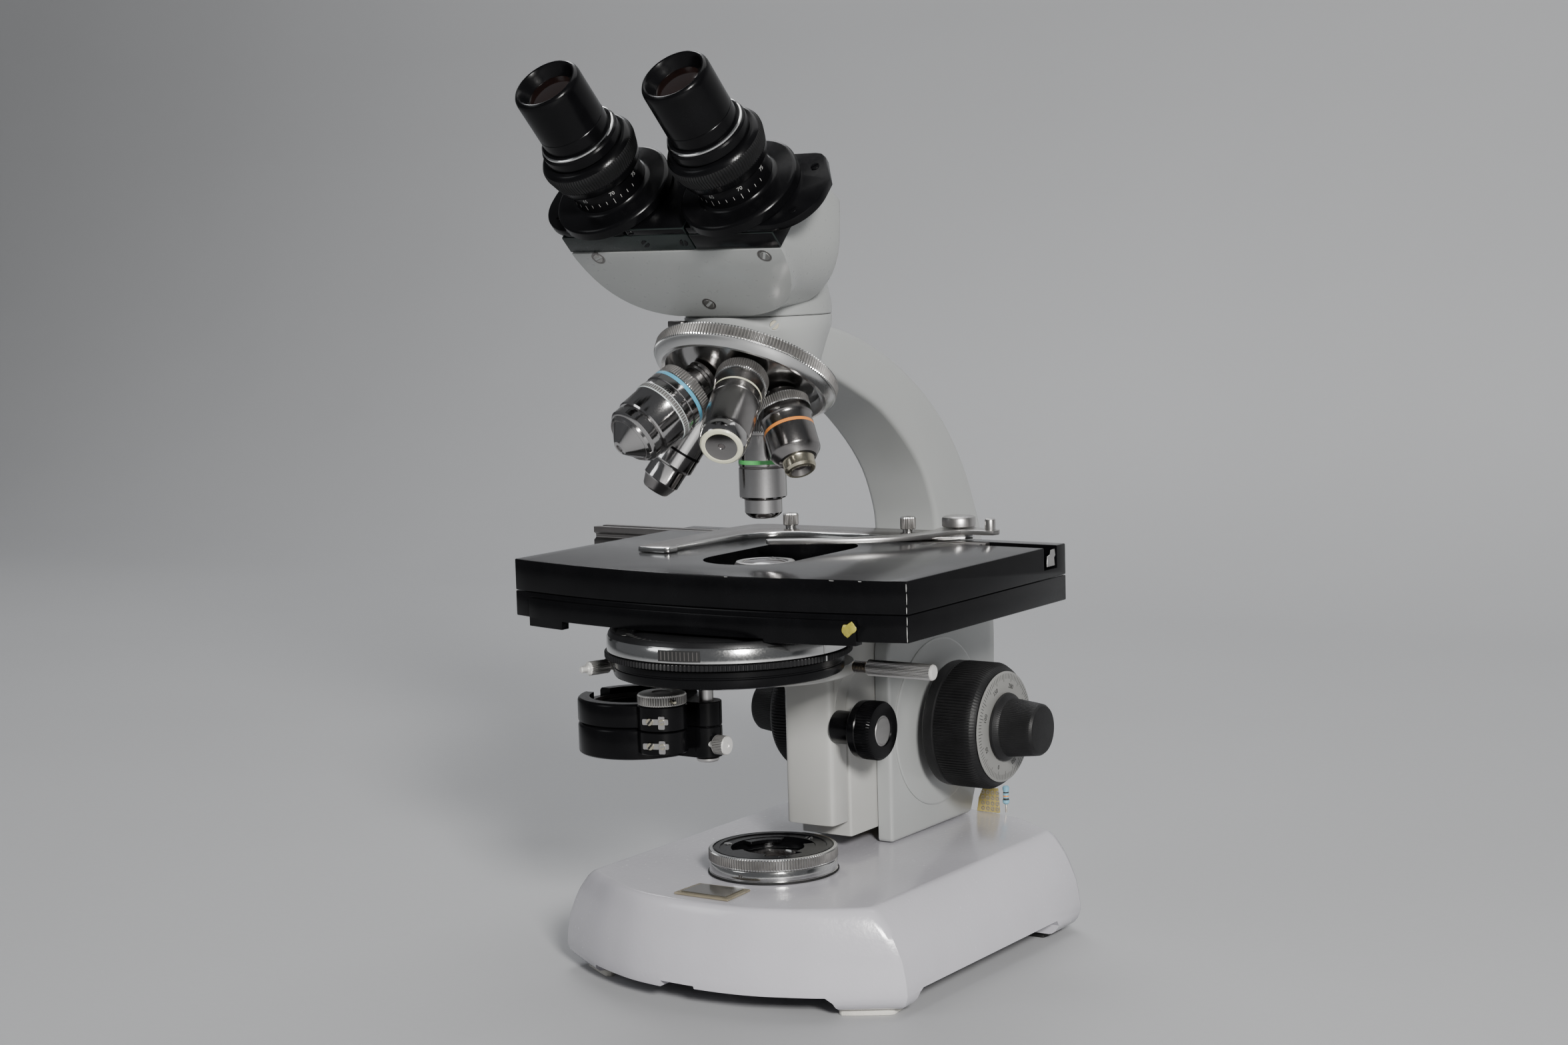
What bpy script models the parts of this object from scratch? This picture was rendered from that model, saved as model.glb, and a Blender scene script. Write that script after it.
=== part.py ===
"""Binocular compound microscope, built as an assembly of separate parts.

Millimetres are used below and turned into metres when a mesh is made.
The optical axis is the line x = 0, y = 0 while building; the eyepieces face -Y,
the arm stands at +Y and the focus scale is on +X.  At the end everything is
moved by SHIFT so that the middle of the underside is the origin.
"""
import math

import bmesh
import bpy
from mathutils import Matrix, Vector

MM = 0.001
GAP = 0.3                      # running clearance between neighbouring parts

# ---------------------------------------------------------------- driving sizes
BASE_TOP = 41.5                # table to the top face of the foot casting
BASE_HALF = 67.0               # half width of that top face
BASE_FRONT, BASE_REAR = -57.5, 136.0
SKIRT_HALF = 81.0              # half width where the skirt is widest
PAD = 2.5                      # felt under each foot
ARCH = 9.2                     # height of the relief between the four feet

BLOCK_HALF, BLOCK_FRONT, BLOCK_REAR = 19.5, 60.0, 151.0
ARM_HALF = 16.2
FOCUS_Y, FOCUS_Z = 99.0, 87.0  # focus shaft
COARSE_R, COARSE_IN, COARSE_OUT = 26.6, 26.3, 51.0
FINE_OUT = 70.2
SEAM_Z = 263.7                 # joint between limb and binocular head
NECK_R = 29.0

APEX_Z = 259.1                 # where the nosepiece axis meets the optical axis
TURRET_TILT = math.radians(30.0)
OBJECTIVE_COUNT = 5

STAGE_TOP, STAGE_SPLIT, STAGE_BOTTOM = 168.4, 155.9, 145.5
STAGE_HALF, STAGE_FRONT, STAGE_BOW, STAGE_REAR = 91.8, -43.8, 13.0, 80.0
RAIL_LEFT, RAIL_RIGHT = -133.5, 61.5
RAIL_Y0, RAIL_Y1 = 62.0, 72.0

TURRET_Y = -27.0               # condenser disc centre, in front of the axis
POST_FRONT, POST_BACK, POST_HALF = 26.6, 39.0, 11.4
RACK_Y, RACK_Z = 32.0, 95.2
SWING_PIVOT = (-8.1, -31.8)    # post of the swing-out discs, under the ring
SWING_REACH = 32.9             # pivot to disc centre, also pivot to the optical axis
SWING_R = 24.3
SWING_DISC = (SWING_PIVOT[0] - SWING_REACH, SWING_PIVOT[1] + 0.1)

HEAD_Y, HEAD_Z = -65.3, 299.9  # middle of the sloping front face of the head
TUBE_HALF_SPACING = 28.9
TUBE_BACK = 18.2               # tube axes, behind the front face
EYE_OUT = 56.0                 # rim of the eyepiece, along the tube
FIELD_R = 26.0

TUBE = Vector((0.0, -1.0, 1.0)).normalized()     # the tubes point this way
BACK = Vector((0.0, 1.0, 1.0)).normalized()      # square to them, to the rear
FACE = Vector((0.0, HEAD_Y, HEAD_Z))
NOSE = Vector((0.0, -math.sin(TURRET_TILT), -math.cos(TURRET_TILT)))
APEX = Vector((0.0, 0.0, APEX_Z))

# middle of the assembled underside, seen from the optical axis
X_MIN, X_MAX = RAIL_LEFT, STAGE_HALF
Y_MIN = (FACE + TUBE * EYE_OUT + BACK * (TUBE_BACK - 12.6)).y
Y_MAX = BLOCK_REAR
SHIFT = Vector((-(X_MIN + X_MAX) / 2, -(Y_MIN + Y_MAX) / 2, 0.0))


# ---------------------------------------------------------------- scene set-up
for old in list(bpy.data.objects):
    bpy.data.objects.remove(old, do_unlink=True)
for old in list(bpy.data.meshes):
    bpy.data.meshes.remove(old)

scene = bpy.context.scene
scene.unit_settings.system = "METRIC"
scene.unit_settings.length_unit = "MILLIMETERS"
parts = bpy.data.collections.new("microscope")
cutters = bpy.data.collections.new("microscope_cutters")
scene.collection.children.link(parts)
scene.collection.children.link(cutters)
cutters.hide_render = True

PAINTS = {
    "grey_paint": ((0.62, 0.63, 0.62), 0.0, 0.42),
    "lilac_paint": ((0.60, 0.60, 0.64), 0.0, 0.36),
    "head_paint": ((0.42, 0.42, 0.42), 0.0, 0.40),
    "black_paint": ((0.02, 0.02, 0.024), 0.0, 0.38),
    "black_anodised": ((0.03, 0.03, 0.032), 0.4, 0.42),
    "chrome": ((0.80, 0.80, 0.80), 1.0, 0.12),
    "satin_steel": ((0.62, 0.62, 0.62), 1.0, 0.34),
    "brass": ((0.72, 0.55, 0.28), 1.0, 0.30),
    "rubber": ((0.03, 0.03, 0.03), 0.0, 0.80),
    "felt": ((0.80, 0.79, 0.74), 0.0, 0.95),
    "glass": ((0.55, 0.62, 0.66), 0.0, 0.05),
}


def material(node, paint):
    colour, metallic, rough = PAINTS[paint]
    mat = bpy.data.materials.new(node + "_" + paint)
    mat.use_nodes = True
    bsdf = mat.node_tree.nodes["Principled BSDF"]
    bsdf.inputs["Base Color"].default_value = (*colour, 1.0)
    bsdf.inputs["Metallic"].default_value = metallic
    bsdf.inputs["Roughness"].default_value = rough
    mat.diffuse_color = (*colour, 1.0)
    return mat


# ---------------------------------------------------------------- shape makers
def build(name, bm, origin=(0.0, 0.0, 0.0), paint=None):
    """Turn a millimetre bmesh into an object whose origin is at `origin`."""
    bmesh.ops.remove_doubles(bm, verts=bm.verts, dist=1e-4)
    bmesh.ops.recalc_face_normals(bm, faces=bm.faces)
    at = (Vector(origin) + SHIFT) * MM
    bm.transform(Matrix.Translation(-at) @ Matrix.Scale(MM, 4) @ Matrix.Translation(SHIFT))
    mesh = bpy.data.meshes.new(name)
    bm.to_mesh(mesh)
    bm.free()
    obj = bpy.data.objects.new(name, mesh)
    obj.location = at
    if paint:
        obj.data.materials.append(material(name, paint))
        parts.objects.link(obj)
    else:
        obj.hide_render = True
        obj.display_type = "WIRE"
        cutters.objects.link(obj)
    return obj


def frame_for(axis):
    """Two directions square to `axis`, the first as near to +X as can be."""
    axis = Vector(axis).normalized()
    side = Vector((1, 0, 0)) if abs(axis.x) < 0.9 else Vector((0, 1, 0))
    side = (side - axis * side.dot(axis)).normalized()
    return side, axis.cross(side).normalized()


def turned(profile, at=(0, 0, 0), axis=(0, 0, 1), steps=32, closed=False):
    """Revolve (radius, height) points about `axis`.  A closed profile is a ring."""
    axis = Vector(axis).normalized()
    side, up = frame_for(axis)
    at = Vector(at)
    bm = bmesh.new()
    rows = []
    for radius, height in profile:
        if radius < 1e-6:
            rows.append([bm.verts.new(at + axis * height)])
        else:
            rows.append([bm.verts.new(at + axis * height
                                      + (side * math.cos(a) + up * math.sin(a)) * radius)
                         for a in (2 * math.pi * k / steps for k in range(steps))])
    pairs = list(zip(rows, rows[1:]))
    if closed:
        pairs.append((rows[-1], rows[0]))
    for low, high in pairs:
        for k in range(steps):
            m = (k + 1) % steps
            if len(low) == 1 and len(high) == 1:
                continue
            if len(low) == 1:
                bm.faces.new((low[0], high[m], high[k]))
            elif len(high) == 1:
                bm.faces.new((low[k], low[m], high[0]))
            else:
                bm.faces.new((low[k], low[m], high[m], high[k]))
    return bm


def rod(radius, low, high, at=(0, 0, 0), axis=(0, 0, 1), steps=32, ease=0.0):
    """A plain cylinder with optional eased ends."""
    if ease:
        profile = [(0, low), (radius - ease, low), (radius, low + ease),
                   (radius, high - ease), (radius - ease, high), (0, high)]
    else:
        profile = [(0, low), (radius, low), (radius, high), (0, high)]
    return turned(profile, at, axis, steps)


def tube(outer, inner, low, high, at=(0, 0, 0), axis=(0, 0, 1), steps=32):
    return turned([(inner, low), (outer, low), (outer, high), (inner, high)],
                  at, axis, steps, closed=True)


def slab(outline, low, high, u=(1, 0, 0), v=(0, 1, 0), at=(0, 0, 0)):
    """Extrude a list of (u, v) points between two heights."""
    u, v = Vector(u).normalized(), Vector(v).normalized()
    w, at = u.cross(v).normalized(), Vector(at)
    bm = bmesh.new()
    lower = [bm.verts.new(at + u * a + v * b + w * low) for a, b in outline]
    upper = [bm.verts.new(at + u * a + v * b + w * high) for a, b in outline]
    bm.faces.new(list(reversed(lower)))
    bm.faces.new(upper)
    for k in range(len(outline)):
        m = (k + 1) % len(outline)
        bm.faces.new((lower[k], lower[m], upper[m], upper[k]))
    return bm


def box(x0, x1, y0, y1, z0, z1):
    return slab([(x0, y0), (x1, y0), (x1, y1), (x0, y1)], z0, z1)


def loft(rings):
    """Skin a stack of equally long point rings and cap both ends."""
    bm = bmesh.new()
    rows = [[bm.verts.new(p) for p in ring] for ring in rings]
    bm.faces.new(list(reversed(rows[0])))
    bm.faces.new(rows[-1])
    count = len(rows[0])
    for low, high in zip(rows, rows[1:]):
        for k in range(count):
            m = (k + 1) % count
            bm.faces.new((low[k], low[m], high[m], high[k]))
    return bm


def arc(cx, cy, radius, start, stop, count):
    return [(cx + radius * math.cos(math.radians(start + (stop - start) * k / count)),
             cy + radius * math.sin(math.radians(start + (stop - start) * k / count)))
            for k in range(count + 1)]


def rounded(x0, x1, y0, y1, r, count=3):
    return (arc(x1 - r, y1 - r, r, 0, 90, count) + arc(x0 + r, y1 - r, r, 90, 180, count)
            + arc(x0 + r, y0 + r, r, 180, 270, count) + arc(x1 - r, y0 + r, r, 270, 360, count))


def cut_plane(bm, point, normal):
    """Remove what lies on the normal's side of a plane and cap the cut."""
    geom = bm.verts[:] + bm.edges[:] + bm.faces[:]
    out = bmesh.ops.bisect_plane(bm, geom=geom, plane_co=Vector(point), plane_no=Vector(normal),
                                 clear_outer=True, dist=1e-5)
    edges = [e for e in out["geom_cut"] if isinstance(e, bmesh.types.BMEdge)]
    bmesh.ops.holes_fill(bm, edges=edges, sides=0)
    return bm


def boolean(obj, tool_bm, kind, tag):
    """Add an exact Boolean with its own wire cutter."""
    tool = build(obj.name + "_" + tag, tool_bm)
    mod = obj.modifiers.new(tag, "BOOLEAN")
    mod.operation = kind
    mod.solver = "EXACT"
    mod.object = tool
    return obj


def minus(obj, tool_bm, tag):
    return boolean(obj, tool_bm, "DIFFERENCE", tag)


def plus(obj, tool_bm, tag):
    return boolean(obj, tool_bm, "UNION", tag)


# ================================================================ the foot
TOP_PLAN = [(0, BASE_FRONT), (14, -56.8), (26, -55.0), (36, -51.7), (45, -47.5), (54, -42.0), (60.5, -38.0),
            (BASE_HALF, -33.5), (BASE_HALF, 111.6), (52, 122.5), (39.6, 129.4), (19.4, 134.0), (0, BASE_REAR)]
SKIRT_PLAN = [(0, -62.0), (15, -61.2), (29, -58.8), (42, -54.3), (52, -50.0), (64, -43.2), (72, -38.2),
              (SKIRT_HALF, -32.5), (SKIRT_HALF, 110.0), (60, 125.0), (44, 132.8), (22, 138.0), (0, 140.0)]


def base_ring(z, spread):
    """Plan of the foot at one height: 0 is the edge of the top face, 1 the widest part of the skirt."""
    right = [Vector((a[0] + (b[0] - a[0]) * spread, a[1] + (b[1] - a[1]) * spread, z))
             for a, b in zip(TOP_PLAN, SKIRT_PLAN)]
    left = [Vector((-p.x, p.y, p.z)) for p in reversed(right[1:-1])]
    return right + left


base = build("base_casting", loft([
    base_ring(PAD + GAP, 0.97), base_ring(9.0, 1.0), base_ring(14.0, 0.965), base_ring(20.0, 0.88),
    base_ring(26.0, 0.73), base_ring(33.0, 0.46), base_ring(39.5, 0.1), base_ring(BASE_TOP, -0.1)]),
    paint="lilac_paint")
minus(base, slab(rounded(-46, 46, -46, 124, 8), -1.0, 36.5), "hollow")
minus(base, slab(rounded(-66, 66, -18, 90, 6), -1.0, 36.0), "side_hollow")
minus(base, box(-120, 120, -22, 91, -2, ARCH), "side_arch")
minus(base, box(-57, 57, -120, 200, -2, ARCH), "front_arch")
minus(base, rod(15.0, 30, 60), "lamp_hole")

for tag, x, y in (("fl", -63.0, -28.5), ("fr", 63.0, -28.5), ("rl", -63.0, 102.0), ("rr", 63.0, 102.0)):
    build("foot_" + tag, slab(rounded(x - 8.8, x + 8.8, y - 8.6, y + 8.6, 1, 3), 0.0, PAD),
          origin=(x, y, 0), paint="felt")

lamp = build("lamp_module", turned([(0, 9), (17, 9), (17, 32), (24, 32), (24, 35.9), (13.6, 35.9),
                                    (13.6, 38.6), (0, 38.6)], steps=24), paint="satin_steel")

# field lens holder on the foot
ring_seat = build("field_ring_seat", turned([
    (13.0, BASE_TOP + 0.2), (26.3, BASE_TOP + 0.2), (26.3, BASE_TOP + 1.0), (25.7, BASE_TOP + 1.2),
    (25.7, BASE_TOP + 5.0), (13.0, BASE_TOP + 5.0)], closed=True, steps=32), paint="chrome")
field_ring = build("field_ring", turned([
    (16.8, BASE_TOP + 5.3), (FIELD_R, BASE_TOP + 5.3), (FIELD_R, BASE_TOP + 9.8),
    (25.4, BASE_TOP + 10.3), (16.8, BASE_TOP + 10.3)], closed=True, steps=32), paint="chrome")
field_lens = build("field_lens", turned([
    (0, BASE_TOP - 2.5), (12.4, BASE_TOP - 2.5), (12.4, BASE_TOP + 2.0), (7.0, BASE_TOP + 3.6),
    (0, BASE_TOP + 4.2)], steps=24), paint="glass")
plate = build("glass_plate", slab([(-12.6, -51.0), (12.8, -51.0), (11.6, -33.6), (-12.0, -34.6)],
                                  BASE_TOP + 0.2, BASE_TOP + 1.5), paint="glass")

# ================================================================ limb
# side view (y, z), round the C from the foot up and over the nosepiece
arm_outer = [(127.0, BASE_TOP + GAP), (132.5, 54.0), (141.0, 70.0), (148.5, 90.0), (BLOCK_REAR, 112.0),
             (BLOCK_REAR, 132.0), (146.6, 163.5), (142.7, 174.0), (135.6, 188.6), (124.7, 204.4),
             (111.6, 218.2), (96.0, 230.2), (79.0, 240.4), (62.0, 248.2), (44.6, 254.4), (29.0, 258.2),
             (8.0, 262.0)]
arm_inner = [(8.0, 247.0), (22.0, 240.5), (44.0, 231.6), (65.7, 221.5), (85.0, 207.2), (98.0, 193.5),
             (105.0, 180.3), (107.8, 170.0), (107.6, 160.0), (104.0, 149.5), (96.0, 140.0), (84.0, 134.0),
             (70.0, 131.0), (62.5, 128.5), (BLOCK_FRONT, 124.5), (BLOCK_FRONT, BASE_TOP + GAP)]
limb = build("limb", slab(arm_outer + arm_inner, -ARM_HALF, ARM_HALF, u=(0, 1, 0), v=(0, 0, 1)),
             paint="grey_paint")
plus(limb, slab([(126.8, BASE_TOP + GAP + 0.02), (132.2, 54.0), (140.6, 70.0), (148.0, 90.0), (150.3, 112.0),
                 (149.6, 128.0), (143.0, 137.5), (118.0, 137.0), (95.5, 139.0), (84.0, 133.6),
                 (70.0, 130.6), (62.5, 128.0), (BLOCK_FRONT + 0.02, 124.0),
                 (BLOCK_FRONT + 0.02, BASE_TOP + GAP + 0.02)],
                -BLOCK_HALF, BLOCK_HALF, u=(0, 1, 0), v=(0, 0, 1)), "block")
bowl = cut_plane(turned([(0, 215.0), (17.0, 218.0), (21.5, 233.0), (24.4, 246.6), (27.2, 255.0),
                         (NECK_R, 260.0), (NECK_R, SEAM_Z), (0, SEAM_Z)], steps=32),
                 APEX + NOSE * 14.2, NOSE)
plus(limb, bowl, "bowl")
minus(limb, box(-12.7, 12.7, BLOCK_FRONT - 5, 80.0, BASE_TOP - 2, 150), "slideway")
minus(limb, box(-6.3, 6.3, 78, 86.5, BASE_TOP - 2, 150), "rack_way")
minus(limb, box(-11.0, 11.0, 79, 117, 69, 105), "gear_room")
minus(limb, rod(8.6, -40, 40, at=(0, FOCUS_Y, FOCUS_Z), axis=(1, 0, 0), steps=24), "shaft_bore")
minus(limb, rod(11.0, 200, 280, steps=24), "light_bore")

for tag, side in (("r", 1), ("l", -1)):
    low, high = sorted((side * (BLOCK_HALF + 0.2), side * (BLOCK_HALF + 1.0)))
    build("focus_cover_" + tag,
          tube(35.6, 9.0, low, high, at=(0, FOCUS_Y, FOCUS_Z), axis=(1, 0, 0), steps=32),
          paint="grey_paint")

# ================================================================ focus drive
FOCUS = (0, FOCUS_Y, FOCUS_Z)
coarse_shaft = build("coarse_shaft", turned([
    (3.4, -26.0), (7.9, -26.0), (7.9, -6.0), (13.4, -6.0), (13.4, 6.0), (7.9, 6.0), (7.9, 26.0), (3.4, 26.0)],
    FOCUS, (1, 0, 0), 28, closed=True), FOCUS, "satin_steel")
fine_shaft = build("fine_shaft", rod(3.0, -65.8, 65.8, FOCUS, (1, 0, 0), 20), FOCUS, "satin_steel")
fine_dial = build("fine_dial", tube(23.2, 3.3, COARSE_OUT + 0.2, COARSE_OUT + 0.9, FOCUS, (1, 0, 0), 32),
                  FOCUS, "satin_steel")
for tag, side in (("r", 1), ("l", -1)):
    build("coarse_knob_" + tag, turned([
        (3.4, side * COARSE_IN), (COARSE_R - 1.2, side * COARSE_IN), (COARSE_R, side * (COARSE_IN + 1.2)),
        (COARSE_R, side * (COARSE_OUT - 3.6)), (COARSE_R - 2.8, side * COARSE_OUT), (3.4, side * COARSE_OUT)],
        FOCUS, (1, 0, 0), 32, closed=True), FOCUS, "black_paint")
    flare = COARSE_OUT + 1.2
    build("fine_knob_" + tag, turned([
        (3.3, side * flare), (14.3, side * flare), (12.3, side * (flare + 2.6)), (11.8, side * (flare + 6.0)),
        (10.7, side * (FINE_OUT - 1.2)), (9.7, side * FINE_OUT), (0, side * FINE_OUT),
        (0, side * 66.1), (3.3, side * 66.1)], FOCUS, (1, 0, 0), 32, closed=True), FOCUS, "black_paint")

# ================================================================ stage carrier
carrier = build("stage_carrier", box(-12.2, 12.2, POST_BACK + 0.5, 79.6, 48.0, STAGE_BOTTOM - GAP),
                paint="grey_paint")
minus(carrier, box(-6.0, 6.0, 60, 90, 40, 132), "rack_slot")
minus(carrier, box(-4.2, 4.2, 30, 41.5, 40, 137), "front_slot")
focus_rack = build("focus_rack", box(-5.7, 5.7, 60.3, FOCUS_Y - 13.8, 52.0, 131.5), paint="brass")
condenser_rack = build("condenser_rack", box(-3.9, 3.9, 37.3, 41.2, 52.0, 134.0), paint="brass")


def stage_outline(inset=0.0, rear=STAGE_REAR):
    half = STAGE_HALF - inset
    front = [(half * s, STAGE_FRONT + inset - STAGE_BOW * (1 - s * s))
             for s in (-1, -0.75, -0.5, -0.25, 0, 0.25, 0.5, 0.75, 1)]
    return front + [(half, rear), (-half, rear)]


lower_outline = stage_outline(0.0)[:-1] + [(-62.0, STAGE_REAR), (-62.0, 7.5), (-STAGE_HALF, 7.5)]
lower = build("stage_lower_plate", slab(lower_outline, STAGE_BOTTOM, STAGE_SPLIT - GAP), paint="black_paint")
minus(lower, rod(34.0, 130, 170, steps=32), "light_opening")
strip = [(x, -56.8 + 13.0 * (x / STAGE_HALF) ** 2) for x in range(-82, 60, 10)] + [(60.0, -51.3)]
plus(lower, slab([(x, y - 1.5) for x, y in strip] + [(x, y + 3.0) for x, y in reversed(strip)],
                 STAGE_BOTTOM + 0.3, STAGE_BOTTOM + 8.1), "front_strip")
plus(lower, slab([(x, y - 1.4) for x, y in strip[:3]] + [(x, y + 2.9) for x, y in reversed(strip[:3])],
                 STAGE_BOTTOM - 3.2, STAGE_BOTTOM + 4.0), "strip_tab")

# upper plate, sliding front to back
upper = build("stage_upper_plate", slab(stage_outline(), STAGE_SPLIT, STAGE_TOP), paint="black_paint")
minus(upper, slab(arc(0, -8.0, 20.0, 180, 360, 10) + arc(0, 32.0, 20.0, 0, 180, 10), 150, 175), "slot")
minus(upper, box(-100, 100, RAIL_Y0 - 0.5, RAIL_Y1 + 0.5, 159.4, 180), "rail_channel")
DRIVE = (-77.0, 58.0)
plus(upper, rod(6.0, 143.0, 157.0, at=(*DRIVE, 0), steps=24), "drive_boss")
minus(upper, rod(2.6, 140.0, 157.5, at=(*DRIVE, 0), steps=20), "drive_bore")

# coaxial stage drive, hanging behind the condenser
y_knob = build("stage_y_knob", tube(12.5, 2.6, 128.5, 142.6, at=(*DRIVE, 0), steps=24),
               (*DRIVE, 135), "black_paint")
x_knob = build("stage_x_knob", turned([
    (0, 112.0), (8.8, 112.0), (9.6, 112.8), (9.6, 128.1), (2.2, 128.1), (2.2, 157.0), (0, 157.0)],
    (*DRIVE, 0), steps=24), (*DRIVE, 120), "black_paint")

# specimen holder on its rail
rail = build("x_rail", slab([(RAIL_Y0, 160.4), (RAIL_Y0, 162.6), (RAIL_Y0 + 1.5, 163.6), (RAIL_Y0 + 1.5, 165.0),
                             (RAIL_Y0, 166.0), (RAIL_Y0, STAGE_TOP), (RAIL_Y1, STAGE_TOP), (RAIL_Y1, 160.4)],
                            RAIL_LEFT, RAIL_RIGHT, u=(0, 1, 0), v=(0, 0, 1)), paint="satin_steel")
HOLD_Z = STAGE_TOP + GAP
holder_outline = [(-60.0, 60.0), (-57.0, -6.0), (-54.5, -9.0), (-42.0, -8.6), (-41.0, -2.0), (-43.0, 1.5),
                  (-42.0, 33.0), (-37.0, 48.0), (-27.0, 57.0), (28.0, 60.0), (36.0, 67.0), (44.0, 71.0),
                  (50.5, 78.0), (44.0, 84.0), (-50.0, 80.0), (-58.0, 74.0)]
holder = build("specimen_holder", slab(holder_outline, HOLD_Z, HOLD_Z + 2.2), paint="chrome")
for tag, x, y in (("left", -33.7, 70.0), ("right", 21.9, 74.0)):
    plus(holder, turned([(0, HOLD_Z + 1), (2.2, HOLD_Z + 1), (2.2, HOLD_Z + 3.4), (2.9, HOLD_Z + 3.6),
                         (2.9, HOLD_Z + 8.2), (2.4, HOLD_Z + 8.7), (0, HOLD_Z + 8.7)], (x, y, 0), steps=18),
         tag + "_screw")
FINGER = (43.8, 78.0)
plus(holder, turned([(0, HOLD_Z + 1), (2.2, HOLD_Z + 1), (2.2, HOLD_Z + 4.5), (6.0, HOLD_Z + 4.6),
                     (6.5, HOLD_Z + 5.1), (6.5, HOLD_Z + 7.2), (5.2, HOLD_Z + 8.1), (0, HOLD_Z + 8.2)],
                    (*FINGER, 0), steps=24), "stud")
finger_outline = [(-8.5, 17.5), (-9.5, 15.0), (-7.0, 13.0), (14.0, 22.0), (32.0, 33.0), (42.0, 46.0),
                  (46.5, 62.0), (50.0, 70.0), (60.0, 71.0), (64.0, 75.0), (60.0, 79.0), (50.0, 84.0),
                  (40.0, 84.0), (36.5, 77.0), (38.0, 64.0), (34.0, 50.0), (26.0, 40.0), (8.0, 27.0)]
finger = build("spring_finger", slab(finger_outline, HOLD_Z + 2.5, HOLD_Z + 4.0), (*FINGER, HOLD_Z + 2.5),
               "chrome")
minus(finger, rod(2.5, 165, 182, at=(*FINGER, 0), steps=20), "pivot")
plus(finger, rod(1.8, HOLD_Z + 3.0, HOLD_Z + 6.0, at=(60.2, 75.0, 0), steps=16), "lever_pin")

# ================================================================ condenser
condenser = build("condenser_carrier", slab([(-POST_HALF, POST_BACK), (-POST_HALF, POST_FRONT + 0.6),
                                             (0, POST_FRONT), (POST_HALF, POST_FRONT + 0.6),
                                             (POST_HALF, POST_BACK)], 54.5, 126.2), paint="grey_paint")
plus(condenser, rod(34.5, 121.5, 126.15, steps=36), "ring")
minus(condenser, rod(4.6, -30, 30, at=(0, RACK_Y, RACK_Z), axis=(1, 0, 0), steps=24), "pinion_bore")
minus(condenser, box(-4.2, 4.2, 35.0, 45.0, 40, 140), "rack_slot")
minus(condenser, rod(13.0, 100, 140, steps=24), "light_bore")

RACK = (0, RACK_Y, RACK_Z)
sleeve = build("rack_sleeve", tube(6.8, 3.6, POST_HALF + 0.2, 21.1, RACK, (1, 0, 0), 28), paint="black_paint")
rack_knob = build("rack_knob", turned([
    (0, -10.8), (4.1, -10.8), (4.1, 10.6), (3.3, 10.8), (3.3, 21.4), (10.8, 21.4), (12.0, 22.6), (12.0, 32.2),
    (10.9, 33.4), (5.6, 33.4), (5.4, 32.9), (0, 32.9)], RACK, (1, 0, 0), 32), RACK, "black_paint")

DISC = (0, TURRET_Y, 0)
lower_ring = build("condenser_lower_ring", turned([
    (0, 126.5), (43.8, 126.5), (45.0, 127.7), (45.0, 133.6), (0, 133.6)], DISC, steps=36), paint="black_paint")
plus(lower_ring, slab([(-38, -30), (-50, -33), (-52.5, -36), (-51, -39.5), (-40, -40)], 127.0, 130.5), "lug")
minus(lower_ring, rod(12.0, 120, 140, steps=24), "light_bore")
minus(lower_ring, rod(3.2, 120, 140, at=DISC, steps=20), "hub_bore")
wheel = build("turret_wheel", turned([
    (0, 127.0), (2.9, 127.0), (2.9, 133.9), (48.3, 133.9), (48.3, 136.4), (44.5, 136.7), (44.5, 140.6),
    (0, 140.6)], DISC, steps=36), DISC, "black_anodised")
for k in range(5):
    a = math.radians(90 + 72 * k)
    minus(wheel, rod(10.5, 120, 150, steps=22,
                     at=(27.0 * math.cos(a), TURRET_Y + 27.0 * math.sin(a), 0)), "stop_%d" % k)
band = build("condenser_cover", turned([
    (0, 140.9), (44.9, 140.9), (44.9, 136.7), (47.3, 136.7), (47.3, 142.6), (46.6, 144.4), (45.6, 144.8),
    (44.6, 144.0), (37.5, 143.2), (35.5, 144.6), (0, 144.6)], DISC, steps=36), paint="black_anodised")
minus(band, rod(12.5, 138, 150, steps=24), "light_bore")
head_lens = build("condenser_head", turned([
    (9.0, 144.9), (20.0, 144.9), (20.0, 151.5), (13.2, 155.2), (13.0, 164.6), (11.8, 166.6), (9.0, 166.6)],
    closed=True, steps=36), paint="black_anodised")
top_lens = build("condenser_top_lens", turned([(0, 158.0), (8.7, 158.0), (8.7, 166.2), (6.0, 167.1), (0, 167.3)],
                                              steps=24), paint="glass")

# screws of the condenser holder
CENTRE_Y, CENTRE_Z = 10.0, 125.0
right_screw = build("centring_screw_r", turned([
    (0, 34.2), (1.9, 34.2), (1.9, 41.0), (3.2, 41.2), (3.2, 70.0), (2.4, 70.8), (0, 70.8)],
    (0, CENTRE_Y, CENTRE_Z), (1, 0, 0), 20), (50, CENTRE_Y, CENTRE_Z), "chrome")
CLAMP = Vector((-49.0, -40.2, 127.2))
CLAMP_DIR = Vector((-0.3, -0.95, 0.0)).normalized()
left_screw = build("clamp_screw_l", turned([
    (0, 0.3), (2.8, 0.3), (2.8, 9.6), (2.3, 10.2), (1.3, 10.3), (1.3, 13.2), (0, 13.4)],
    CLAMP, CLAMP_DIR, 18), CLAMP, "chrome")

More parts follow.
